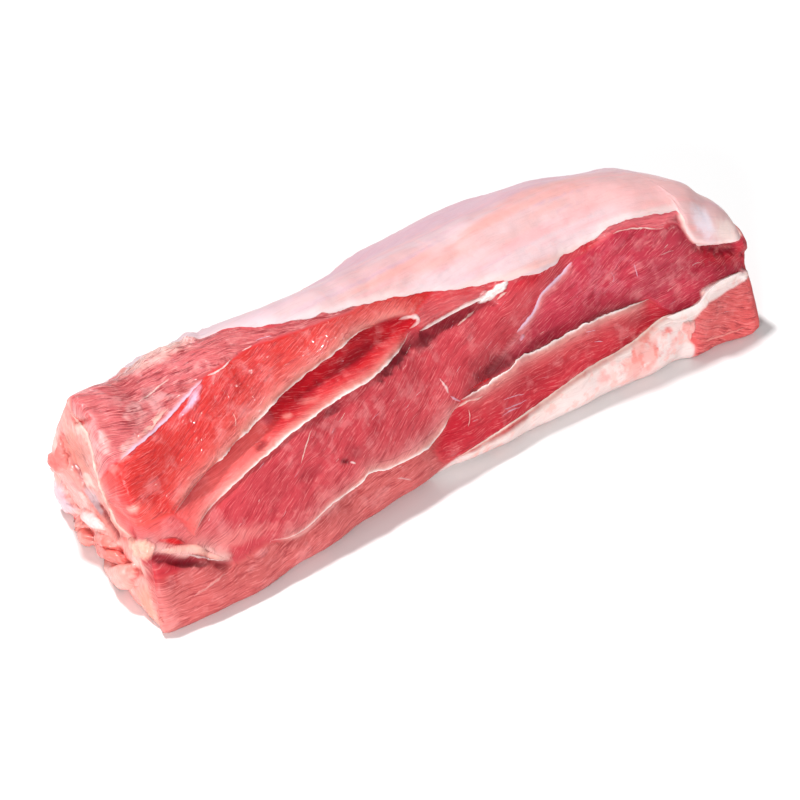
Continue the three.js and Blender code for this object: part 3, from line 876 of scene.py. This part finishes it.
# Thin torn membranes and fat threads on the muscles: pixels, width in mm and colour
FLECKS = [
    ([(315, 421), (308, 440), (302, 460), (298, 474)], 0.6, CREAM),
    ([(348, 409), (342, 418), (336, 426)], 0.5, CREAM),
    ([(439, 377), (445, 386), (449, 395)], 1.2, WHITE),
    ([(449, 395), (456, 399), (463, 402)], 1.0, LILAC),
    ([(349, 462), (353, 463), (357, 464)], 0.9, WHITE),
    ([(476, 309), (466, 318), (455, 327)], 1.0, CREAM),
    ([(476, 301), (484, 292), (492, 295), (500, 285), (508, 280)], 1.8, WHITE),
    ([(484, 304), (493, 293), (503, 288)], 1.5, CREAM),
    ([(496, 301), (503, 294), (509, 291)], 0.9, CREAM),
    ([(632, 258), (636, 270), (639, 283)], 0.5, LILAC),
    ([(609, 269), (614, 277), (612, 286)], 0.5, LILAC),
    ([(590, 280), (578, 297), (568, 312)], 0.4, LILAC),
    ([(524, 333), (520, 342)], 1.5, LILAC),
    ([(498, 402), (515, 396), (530, 393)], 0.6, LILAC),
    ([(500, 411), (515, 405), (532, 398)], 0.7, LILAC),
    ([(497, 419), (512, 410), (525, 406)], 0.6, LILAC),
    ([(467, 402), (470, 418), (466, 434)], 0.5, CREAM),
    ([(484, 402), (480, 420), (474, 436)], 0.4, CREAM),
    ([(226, 409), (234, 415), (236, 424), (231, 431)], 0.5, CREAM),
    ([(203, 378), (222, 369), (229, 361), (237, 354)], 0.8, WHITE),
    ([(240, 352), (248, 348), (254, 345)], 0.7, WHITE),
    ([(132, 406), (150, 394), (166, 381), (174, 375)], 0.8, CREAM),
    ([(248, 345), (262, 338), (280, 335)], 0.5, LILAC),
    ([(191, 598), (212, 584), (228, 571)], 1.2, PEACH),
    ([(395, 478), (404, 479), (414, 481)], 0.8, SKIN),
    ([(580, 333), (592, 331), (600, 329)], 0.5, LILAC),
    ([(590, 343), (600, 341), (607, 343)], 0.5, LILAC),
    ([(604, 240), (619, 231), (640, 228), (659, 229), (674, 224)], 0.7, CREAM),
    ([(655, 258), (668, 252), (680, 250)], 0.5, SKIN),
    ([(688, 268), (697, 263), (706, 262)], 0.5, SKIN),
    ([(397, 320), (408, 317), (416, 317), (418, 321), (413, 326), (408, 329)], 1.9, WHITE),
    ([(462, 394), (474, 387), (486, 380), (496, 374)], 1.0, BLOOD),
    ([(452, 407), (464, 399), (480, 394), (488, 391)], 0.8, BLOOD),
    ([(452, 411), (466, 402), (478, 398), (488, 393)], 1.1, CREAM),
    ([(156, 552), (176, 550), (196, 549), (208, 555), (228, 560)], 3.6, srgb(242, 184, 166)),
    ([(184, 554), (202, 557), (214, 559), (230, 560)], 1.2, WHITE),
    ([(158, 541), (170, 540), (186, 543)], 2.2, BLOOD),
    ([(72, 421), (80, 423), (87, 421), (93, 416)], 1.6, BLOOD),
    ([(696, 343), (720, 336), (752, 325)], 1.2, FAT_PINK),
]
FLECK_COLUMNS = 7
FLECK_STRENGTH = 0.8
FLECK_ENDS = 0.4  # share of its length over which a fleck tapers at each end
FLECK_SWAY, FLECK_WAVE = 0.3, 3.0  # mm that a fleck wanders off its line, and mm over which it does
FLECK_LEAST, FLECK_MOST = 0.12, 2.0  # shares of its width between which it varies
FLECK_HEIGHT = 0.3  # share of its width that it stands up
FLECK_SUNK = 0.12  # mm that its borders lie under the surface
FLECK_SPOT = 1.2  # mm from pale spot to pale spot

# Lobes, lumps of fat and membranes that lie on the meat, each inside a closed outline of pixels. rise, crags
# and folds are heights in mm, tilt the direction of the folds above the photograph's horizontal and melt the
# share of the pad over which its colour runs out into the meat.
PADS = {
    "end_lobes": [
        dict(line=[(68, 425), (87, 437), (93, 457), (91, 476), (75, 468), (68, 453), (60, 435)],
             tint=srgb(216, 132, 120), rise=0.8, folds=0.6, tilt=-66, streak=0.9),
        dict(line=[(60, 436), (65, 449), (70, 458), (69, 468), (60, 475), (50, 474), (47, 464), (49, 455),
                   (56, 449)],
             tint=srgb(214, 108, 102), rise=1.9, crags=1.3, melt=0.6),
        dict(line=[(70, 518), (80, 516), (89, 528), (95, 540), (93, 552), (85, 548), (76, 534)],
             tint=srgb(232, 140, 130), rise=3.6, crags=0.8),
        dict(line=[(95, 530), (113, 540), (125, 555), (129, 565), (117, 563), (105, 557), (97, 545)],
             tint=srgb(226, 112, 102), rise=3.4, crags=0.6, folds=0.4, tilt=-45),
        dict(line=[(103, 559), (123, 563), (137, 565), (135, 579), (129, 591), (117, 585), (109, 573)],
             tint=srgb(236, 156, 146), rise=3.2, crags=0.4),
        dict(line=[(133, 587), (141, 577), (149, 581), (157, 607), (164, 623), (157, 625), (145, 611)],
             tint=srgb(236, 140, 120), rise=1.2, crags=0.2, melt=0.7),
        dict(line=[(683, 322), (694, 319), (696, 325), (691, 340), (686, 336), (681, 330)],
             tint=srgb(242, 166, 160), rise=1.0, crags=0.4),
    ],
    "membranes": [
        dict(line=[(56, 476), (64, 482), (69, 494), (77, 504), (81, 512), (69, 516), (62, 505), (55, 488)],
             tint=srgb(222, 184, 194), rise=2.2, crags=0.2, wet=0.5, melt=0.5),
        dict(line=[(83, 482), (95, 488), (103, 504), (107, 520), (99, 516), (91, 504), (81, 488)],
             tint=srgb(190, 158, 162), rise=0.4, crags=0.2, wet=0.6, melt=0.6),
        dict(line=[(83, 506), (95, 512), (103, 522), (109, 530), (97, 531), (87, 526), (81, 517)],
             tint=srgb(232, 200, 198), rise=1.4, folds=1.1, tilt=-35, wet=0.4, melt=0.5),
        dict(line=[(204, 379), (202, 399), (188, 415), (176, 419), (184, 407), (192, 387)],
             tint=srgb(216, 176, 200), rise=0.2, folds=0.25, tilt=60, wet=0.4, melt=0.9),
        dict(line=[(174, 403), (157, 425), (145, 441), (137, 437), (149, 420), (164, 406)],
             tint=srgb(236, 180, 168), rise=0.4, crags=0.5, folds=0.3, tilt=45, melt=0.8),
    ],
    "loose_fat": [
        dict(line=[(127, 536), (141, 538), (153, 538), (157, 547), (153, 561), (141, 563), (133, 561),
                   (129, 547)],
             tint=srgb(240, 176, 156), rise=0.7, crags=0.25, folds=0.8, tilt=70, fat=1.0, melt=0.6),
        dict(line=[(477, 304), (481, 293), (491, 289), (499, 281), (511, 279), (507, 289), (497, 296),
                   (488, 303)],
             tint=WHITE, rise=1.0, crags=0.8, folds=0.5, tilt=35, melt=0.35),
    ],
}
PAD_SIDE = 33  # points along each side of a pad's grid
PAD_RAGGED = 0.22  # share by which a pad's outline wanders
PAD_SUNK = 0.4  # mm that its border lies under the surface
PAD_CROWN, PAD_RIM = 3, 8  # how flat a pad is on top, and how near its border it sinks
PAD_CRAG = 2.4  # mm from crag to crag
# the pad's colour varies at random, and with the folds as painted light and shade: lighter on their ridges,
# darker in their troughs
PAD_MOTTLE, FOLD_SHADE = 0.2, 0.15  # shares by which its colour varies, at random and with the folds
FOLD_SIZE = (7.0, 1.5, 1.0)  # mm along and across a fold


def outline_grid(outline, seed):
    """Pixels of a square grid drawn into a closed outline, and how far out each lies, from 0 to 1."""
    line = smooth_line(outline + outline[:1], 0.5)
    middle = line.mean(0)
    spread, axes = np.linalg.eigh(np.cov((line - middle).T))
    to_round = axes / np.sqrt(spread)
    rounded = (line - middle) @ to_round
    turn = np.arctan2(rounded[:, 1], rounded[:, 0])
    order = np.argsort(turn)
    u = np.linspace(-1.0, 1.0, PAD_SIDE)
    square = np.stack(np.meshgrid(u, u, indexing="ij"), axis=-1)
    ring = np.abs(square).max(-1)
    way = np.arctan2(square[..., 1], square[..., 0])
    ragged = 1.0 + PAD_RAGGED * noise(np.column_stack((line, 0.0 * turn)), 7.0, seed)
    reach = np.linalg.norm(rounded, axis=1) * ragged
    reach = np.interp(way, turn[order], reach[order], period=2.0 * np.pi)
    disc = (ring * reach)[..., None] * np.stack((np.cos(way), np.sin(way)), axis=-1)
    return middle + disc @ np.linalg.inv(to_round), ring


def add_pad(made, seed, line, tint, rise, crags=0.0, folds=0.0, tilt=0.0, melt=0.3,
            streak=0.3, wet=0.6, fat=0.2):
    shown, ring = outline_grid(line, seed)
    places, out, triangle = surface.seen(shown)
    for _ in range(2):
        out = np.swapaxes(running_mean(out, 5), 0, 1)
    out = unit(out)
    flat = places.reshape(-1, 3)
    turn = math.radians(tilt)
    mm = shown.reshape(-1, 2) / PIXELS_PER_MM
    along = mm @ (math.cos(turn), -math.sin(turn))
    across = mm @ (math.sin(turn), math.cos(turn))
    folded = noise(np.column_stack((along, across, 0.0 * along)), FOLD_SIZE, seed)
    relief = crags * noise(flat, PAD_CRAG, seed + 1) + folds * folded
    lift = (rise + relief.reshape(ring.shape)) * (1.0 - ring ** PAD_CROWN) - PAD_SUNK * ring ** PAD_RIM
    edge = ring.ravel() + 0.12 * noise(flat, 1.6, seed + 2)
    laid = meat_paint(places, triangle)
    laid.lay(smooth_step(1.0, 1.0 - melt, edge), tint, streak, wet, fat)
    # random mottling, and painted light and shade that follow the folds
    mottle_and_fold_shade = 1.0 + PAD_MOTTLE * noise(flat, 2.0, seed + 3) + FOLD_SHADE * folded * (folds > 0.0)
    laid.tint *= mottle_and_fold_shade[:, None]
    made.add(places, out, lift, laid)


def pads(name):
    made = Piece(name)
    for number, spec in enumerate(PADS[name]):
        add_pad(made, 7 * number + len(name), **spec)
    return made.make()


# Fine flecks strewn along the fibres: pale threads on the bare muscle of the cut side, and painted glints,
# near-white flecks that stand in for wet highlights, where it is wettest. length, width and places, the
# unrolled places between which they lie, are in mm. turn is the spread of their directions in radians, and a
# higher cluster leaves them on fewer spots.
STREWN = [
    dict(name="fascia_threads", count=320, seed=8, length=(2.0, 9.0), width=(0.18, 0.5),
         strength=(0.25, 0.75), places=(-12.0, 62.0), wet=(0.0, 0.45), turn=0.0, cluster=-2.0),
    # painted glints: pale flecks where the muscle is wettest
    dict(name="painted_glint_flecks", count=420, seed=9, length=(1.4, 5.5), width=(0.2, 0.42),
         strength=(0.2, 0.75), places=(30.0, 92.0), wet=(0.45, 1.1), turn=0.12, cluster=-0.15),
]
STREWN_STEP = 0.5  # mm
STREWN_END = 132.0  # mm along the roast from its middle
STREWN_CLUSTER = 11.0  # mm from cluster to cluster
STREWN_CURL = 0.08  # how far they bend off the fibres
BARE_STREAK, BARE_FAT = 0.55, 0.1  # least grain and most fat of what counts as bare muscle


def add_fleck(made, centre, normal, width, tint, strength, seed):
    w = np.linspace(-1.0, 1.0, FLECK_COLUMNS)
    taper = ends_taper(np.linspace(0.0, 1.0, len(centre)), FLECK_ENDS, FLECK_ENDS)[:, None]
    uneven = min(0.8, 0.9 / width) * noise(centre, max(1.6, 0.6 * width), seed)[:, None]
    sway = FLECK_SWAY * noise(centre, FLECK_WAVE, seed + 30)[:, None]
    offset = 0.5 * width * np.clip(taper * (1.0 + uneven), FLECK_LEAST, FLECK_MOST) * w + sway
    places, out, triangle = laid_rows(centre, normal, offset)
    lift = FLECK_HEIGHT * taper * width * np.sqrt(1.0 - 0.95 * w ** 2) - FLECK_SUNK
    patchy = 0.75 + 0.35 * noise(places.reshape(-1, 3), FLECK_SPOT, seed, 2).reshape(offset.shape)
    pale = np.clip(strength * taper * patchy * smooth_step(1.3, 0.2, np.abs(w)), 0.0, 1.0)
    laid = meat_paint(places, triangle)
    laid.lay(pale.ravel(), tint, streak=0.1)
    made.add(places, out, lift, laid)


def flecks(name):
    made = Piece(name)
    for number, (line, width, tint) in enumerate(FLECKS):
        add_fleck(made, *surface.line(line, RIBBON_STEP), width, tint, FLECK_STRENGTH, 61 + number)
    return made.make()


def on_unrolled(x, place):
    """The point and normal of the surface at an unrolled place."""
    middle = Vector((x, np.interp(x, AXIS_STEPS, axis_y), np.interp(x, AXIS_STEPS, axis_z)))
    ray = Vector((0.0, -math.cos(place / ROUND), math.sin(place / ROUND)))
    hit, normal, _, _ = surface.tree.ray_cast(middle, ray)
    return np.array(hit), np.array(normal)


def strewn(name, count, seed, length, width, strength, places, wet, turn, cluster):
    made = Piece(name)
    draw = np.random.default_rng(seed)
    bare = (paint.streak > BARE_STREAK) & (paint.fat < BARE_FAT) & (end_share < 0.1)
    bare &= np.abs(points[:, 0]) < STREWN_END
    bare &= (unrolled[:, 1] > places[0]) & (unrolled[:, 1] < places[1])
    bare &= (paint.wet >= wet[0]) & (paint.wet < wet[1]) & (noise(points, STREWN_CLUSTER, seed) > cluster)
    for number, start in enumerate(draw.choice(np.flatnonzero(bare), count, replace=False)):
        angle = draw.normal() * turn
        along = fibre_ways[muscle[start]] * math.cos(angle)
        along += fibre_ways[muscle[start]][::-1] * (-math.sin(angle), math.sin(angle))
        run = np.arange(0.0, draw.uniform(*length), STREWN_STEP)
        way = unrolled[start] + along * (run - run[-1] / 2)[:, None]
        way += STREWN_CURL * draw.normal(size=2) * (run ** 1.3)[:, None]
        centre, normal = np.moveaxis([on_unrolled(*place) for place in way], 1, 0)
        tint = blend(CREAM, LILAC, np.array(draw.uniform(0.0, 1.0)))
        add_fleck(made, centre, normal, draw.uniform(*width), tint, draw.uniform(*strength), number)
    return made.make()


# The silverskin: a sheet from the front edge of the cap over the crown and down the back
SKIN_ROWS = 300
SKIN_COLUMNS = 110
SKIN_START, SKIN_STOP = -131.0, 142.0  # mm along the roast
SKIN_FOOT = 196.0  # unrolled place of its lower edge on the back
SKIN_THICKNESS = 0.8  # mm
# Unrolled places of the front edge, behind the crown near the trimmed end and on the lip at the tail
SKIN_EDGE_NEAR = [(-150.0, 150.0), (-120.0, 140.0), (-102.0, 120.0), (-89.0, 77.0)]
SKIN_EDGE_FAR = [(150.0, 22.0)]
LIP_START, LIP_FULL = 103.0, 126.0  # mm along the roast
LIP_TOP, LIP_EVEN = 62.0, 40.0  # unrolled places between which the lip grows
LIP_RISE = 0.8  # mm
SKIN_STRETCH = 1.4  # crowds the columns towards the front edge
SKIN_THIN = 0.2  # share of the thickness at the front edge
SKIN_THICK = 12.0  # mm from the front edge to the full thickness
SKIN_SUNK = 0.3  # mm that the other three edges lie under the surface
SKIN_SIDE_RIM, SKIN_FOOT_RIM = 0.02, 0.05  # shares of the sheet over which they come up
SKIN_JAG = 0.9  # mm that the front edge wanders
SKIN_FOOT_SWAY = 5.0  # mm that the lower edge wanders
SKIN_RIPPLE, RIPPLE_SIZE = 0.2, (30.0, 7.0, 7.0)  # mm
LILAC_BACK = (62.0, 84.0)  # unrolled places between which the skin turns lilac
PALE_END = (-10.0, -75.0)  # mm along the roast between which it turns pale
BARE_BACK = (140.0, 185.0)  # unrolled places between which the muscle comes to show through
# Streaks of colour on the skin: size in mm along and across the roast, seed, share and colour
SKIN_STREAKS = [
    ((60.0, 6.0, 1.0), 41, 0.8, PEACH),
    ((40.0, 10.0, 1.0), 42, 0.7, SKIN_WHITE),
    ((90.0, 3.2, 1.0), 45, 0.5, srgb(236, 168, 172)),
    ((70.0, 3.0, 1.0), 46, 0.6, SKIN_LILAC),
]
SKIN_PATCHES_AND_HIGHLIGHTS = [
    Patch((437, 281), (44, 9), 12, SKIN_WHITE, 0.7),
    Patch((443, 260), (44, 5), 20, PEACH, 0.6),
    Patch((625, 194), (66, 18), 4, srgb(232, 178, 178), 0.8),
    # painted highlight: two near-white spots on the lip where it shines
    Patch((722, 231), (18, 12), -30, srgb(255, 230, 224), 0.9),
    Patch((701, 222), (19, 9), -60, srgb(240, 226, 236), 0.9),
]


def silverskin(name):
    shown = unroll(surface.line(CAP_EDGE + LIP_EDGE[1:], LINE_STEP)[0])
    front = np.vstack((SKIN_EDGE_NEAR, shown, SKIN_EDGE_FAR))
    front = front[np.argsort(front[:, 0])]
    x = np.linspace(SKIN_START, SKIN_STOP, SKIN_ROWS)
    edge = np.interp(x, front[:, 0], front[:, 1])
    along = np.column_stack((x, edge, np.zeros(SKIN_ROWS)))
    edge = edge + SKIN_JAG * noise(along, 5.0, 31, 4)
    v = np.linspace(0.0, 1.0, SKIN_COLUMNS) ** SKIN_STRETCH
    foot = SKIN_FOOT + SKIN_FOOT_SWAY * noise(along, 25.0, 32)
    place = edge[:, None] + (foot - edge)[:, None] * v
    near = np.empty((SKIN_ROWS, SKIN_COLUMNS, 3))
    out = np.empty_like(near)
    for i, j in np.ndindex(place.shape):
        near[i, j], out[i, j] = on_unrolled(x[i], place[i, j])
    flat = near.reshape(-1, 3)
    from_edge = place - edge[:, None]
    ends = np.linspace(0.0, 1.0, SKIN_ROWS)
    sides = smooth_step(0.0, SKIN_SIDE_RIM, ends) * smooth_step(1.0, 1.0 - SKIN_SIDE_RIM, ends)
    rim = sides[:, None] * smooth_step(1.0, 1.0 - SKIN_FOOT_RIM, v)
    grown = SKIN_THIN + (1.0 - SKIN_THIN) * smooth_step(0.0, SKIN_THICK, from_edge)
    lift = SKIN_THICKNESS * grown
    lip = smooth_step(LIP_START, LIP_FULL, x)[:, None] * smooth_step(LIP_TOP, LIP_EVEN, place)
    lift += LIP_RISE * lip * smooth_step(0.0, 1.5, from_edge)
    lift += SKIN_RIPPLE * noise(flat, RIPPLE_SIZE, 33).reshape(lift.shape)
    lift = lift * rim - SKIN_SUNK * (1.0 - rim)
    near[..., 2] = np.maximum(near[..., 2], SKIN_SUNK)

    laid = Paint(len(flat), SKIN)
    spot = np.column_stack((flat[:, 0], place.ravel(), np.zeros(len(flat))))
    for size, seed, share, tint in SKIN_STREAKS:
        laid.lay(smooth_step(0.1, 0.6, noise(spot, size, seed)) * share, tint)
    behind = spot[:, 1] + 4.0 * noise(spot, (40.0, 9.0, 1.0), 43)
    laid.lay(smooth_step(*LILAC_BACK, behind) * 0.8, SKIN_LILAC)
    laid.lay(smooth_step(0.5, 4.0, 5.0 - from_edge.ravel()) * 0.4, WHITE)
    onward = spot[:, 0] + 9.0 * noise(spot, (40.0, 12.0, 1.0), 47)
    laid.lay(smooth_step(*PALE_END, onward) * 0.7, SKIN_PALE)
    bare = smooth_step(*BARE_BACK, spot[:, 1] + 26.0 * noise(spot, (45.0, 16.0, 1.0), 44))
    laid.lay(bare * 0.75, ROSE)
    for patch in SKIN_PATCHES_AND_HIGHLIGHTS:
        laid.lay(patch_share(flat, out.reshape(-1, 3), patch) * patch.share, patch.tint)
    laid.fibre = np.column_stack((spot[:, 0], spot[:, 1], np.full(len(flat), 11.0)))
    laid.streak = 0.2 + 0.6 * bare
    laid.fat[:] = 0.3
    laid.wet[:] = 0.25
    made = Piece(name)
    made.add(near, out, lift, laid)
    return made.make()


pieces = [silverskin("silverskin"), flecks("fascia_flecks")] + [strewn(**spec) for spec in STREWN]
pieces += [ribbon(*row) for row in RIBBONS] + [pads(name) for name in PADS]

# Material

BUMP_STRENGTH, BUMP_DISTANCE = 0.8, 0.0004  # share and m


class Nodes:
    """Short names for building a node tree."""

    def __init__(self, name):
        self.material = bpy.data.materials.new(name)
        self.material.use_nodes = True
        self.tree = self.material.node_tree
        self.shader = self.tree.nodes["Principled BSDF"]

    def add(self, kind, inputs=None, **settings):
        made = self.tree.nodes.new(kind)
        for key, value in settings.items():
            setattr(made, key, value)
        for key, value in (inputs or {}).items():
            self.set(made.inputs[key], value)
        return made

    def set(self, socket, value):
        if isinstance(value, bpy.types.NodeSocket):
            self.tree.links.new(value, socket)
        else:
            socket.default_value = value

    def times(self, a, b, clamp=False):
        return self.add("ShaderNodeMath", {0: a, 1: b}, operation="MULTIPLY", use_clamp=clamp).outputs[0]

    def plus(self, a, b):
        return self.add("ShaderNodeMath", {0: a, 1: b}, operation="ADD").outputs[0]

    def bump(self, height):
        inputs = {"Strength": BUMP_STRENGTH, "Distance": BUMP_DISTANCE, "Height": height}
        return self.add("ShaderNodeBump", inputs).outputs[0]

    def attribute(self, name, output):
        return self.add("ShaderNodeAttribute", attribute_name=name).outputs[output]

    def noise(self, vector, scale, detail=2.0, roughness=0.55):
        inputs = {"Vector": vector, "Scale": scale, "Detail": detail, "Roughness": roughness}
        return self.add("ShaderNodeTexNoise", inputs).outputs["Fac"]

    def stretch(self, vector, factors):
        made = self.add("ShaderNodeVectorMath", {0: vector, 1: factors}, operation="MULTIPLY")
        return made.outputs[0]

    def ramp(self, value, low, high, to_low=0.0, to_high=1.0):
        inputs = {"Value": value, "From Min": low, "From Max": high, "To Min": to_low, "To Max": to_high}
        return self.add("ShaderNodeMapRange", inputs, interpolation_type="SMOOTHSTEP").outputs["Result"]

    def mix(self, share, a, b):
        made = self.add("ShaderNodeMix", data_type="RGBA")
        for socket, value in zip((made.inputs[0], made.inputs[6], made.inputs[7]), (share, a, b)):
            self.set(socket, value)
        return made.outputs[2]

    def finish(self, inputs):
        for name, value in inputs.items():
            self.set(self.shader.inputs[name], value)
        return self.material


def flesh_material(name):
    n = Nodes(name)
    tint = n.attribute("tint", "Color")
    fibre = n.attribute("fibre", "Vector")
    streak, wet, fat = n.add("ShaderNodeSeparateXYZ", {0: n.attribute("look", "Vector")}).outputs
    place = n.add("ShaderNodeTexCoord").outputs["Object"]

    bundles = n.noise(n.stretch(fibre, (0.08, 0.5, 1.0)), 1.0, 3.0, 0.6)
    strands = n.noise(n.stretch(fibre, (0.16, 1.9, 1.0)), 1.0, 3.0, 0.65)
    beads = n.noise(n.stretch(fibre, (0.3, 0.7, 1.0)), 1.0, 2.0, 0.55)
    clouds = n.noise(place, 100.0, 4.0, 0.65)
    specks = n.noise(place, 900.0, 3.0, 0.7)
    flakes = n.noise(place, 260.0, 4.0)

    red = n.add("ShaderNodeSeparateColor", {0: tint}).outputs[0]
    shine = n.times(streak, n.ramp(red, 0.08, 0.5))
    grain = n.plus(n.times(bundles, 0.45), n.times(strands, 0.55))
    layers = [
        (n.times(n.ramp(grain, 0.52, 0.36), n.times(streak, 0.5), True), DARK_GRAIN),
        (n.times(n.ramp(strands, 0.53, 0.66), n.times(shine, 0.3), True), PALE_GRAIN),
        (n.times(n.ramp(clouds, 0.5, 0.72), n.times(shine, 0.24), True), HAZE),
        (n.times(n.ramp(flakes, 0.52, 0.68), n.times(fat, 0.45)), FATTY),
    ]
    colour = tint
    for share, over in layers:
        colour = n.mix(share, colour, (*over, 1.0))
    relief = n.plus(n.times(grain, n.times(streak, 0.8)), n.times(specks, 0.2))
    film = n.times(beads, n.plus(n.times(wet, 4.5), 0.3))
    return n.finish({
        "Base Color": colour,
        "Roughness": n.plus(n.times(specks, 0.14), 0.36),
        "Normal": n.bump(relief),
        "Subsurface Weight": 0.1,
        "Subsurface Radius": (1.0, 0.35, 0.25),
        "Subsurface Scale": 0.003,
        "Specular IOR Level": 0.12,
        "Coat Weight": n.ramp(wet, 0.1, 1.0, 0.0, 0.9),
        "Coat Normal": n.bump(film),
        "Coat Roughness": 0.08,
        "Coat IOR": 1.7,
    })


flesh = flesh_material("raw_meat")
for piece in [body] + pieces:
    piece.data.materials.clear()
    piece.data.materials.append(flesh)
    piece.data.polygons.foreach_set("use_smooth", np.ones(len(piece.data.polygons), bool))
    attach(piece, "root")
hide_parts("veal_shoulder")

# Floor, light and camera

FLOOR_SIZE = 6.0  # m
FLOOR_WHITE = (0.93, 0.93, 0.93, 1.0)
LIGHT_TARGET = (0, 0, 0.03)  # m
# Place in m, diameter in m and power in W
KEY = (-0.4, 0.66, 2.4), 0.26, 55.0
FRONT_FILL = (-2.6, -1.9, 1.05), 1.2, 95.0
GLINT_PLACES = [(1.1, -0.8, 2.0), (0.7, 0.0, 2.3)]
GLINT_SIZE, GLINT_POWER = 0.35, 5.0
WORLD_STRENGTH = 0.28

half = FLOOR_SIZE / 2
floor_mesh = bpy.data.meshes.new("floor")
corners = [(-half, -half, 0), (half, -half, 0), (half, half, 0), (-half, half, 0)]
floor_mesh.from_pydata(corners, [], [(0, 1, 2, 3)])
floor = bpy.data.objects.new("floor", floor_mesh)
floor.data.materials.append(Nodes("floor_white").finish({"Base Color": FLOOR_WHITE, "Roughness": 0.7}))
bpy.context.scene.collection.objects.link(floor)


def area_light(name, place, size, power):
    light = bpy.data.lights.new(name, "AREA")
    light.shape = "DISK"
    light.size = size
    light.energy = power
    obj = bpy.data.objects.new(name, light)
    obj.location = place
    obj.rotation_mode = "QUATERNION"
    obj.rotation_quaternion = (Vector(LIGHT_TARGET) - Vector(place)).to_track_quat("-Z", "Y")
    bpy.context.scene.collection.objects.link(obj)
    return obj


area_light("key", *KEY)
area_light("front_fill", *FRONT_FILL)
for number, place in enumerate(GLINT_PLACES):
    glint = area_light(f"glints_{number}", place, GLINT_SIZE, GLINT_POWER)
    glint.visible_diffuse = False

world = bpy.data.worlds.new("studio")
world.use_nodes = True
background = world.node_tree.nodes["Background"].inputs
background["Color"].default_value = (1.0, 1.0, 1.0, 1.0)
background["Strength"].default_value = WORLD_STRENGTH
bpy.context.scene.world = world
bpy.context.scene.view_settings.view_transform = "Standard"

camera = bpy.data.objects.new("camera", bpy.data.cameras.new("camera"))
camera.data.sensor_width = SENSOR
camera.data.lens = SENSOR * FOCAL / PHOTO_SIDE
camera.location = Vector(view_eye * MM)
camera.rotation_mode = "QUATERNION"
camera.rotation_quaternion = Vector(-view_back).to_track_quat("-Z", "Y")
bpy.context.scene.collection.objects.link(camera)
bpy.context.scene.camera = camera
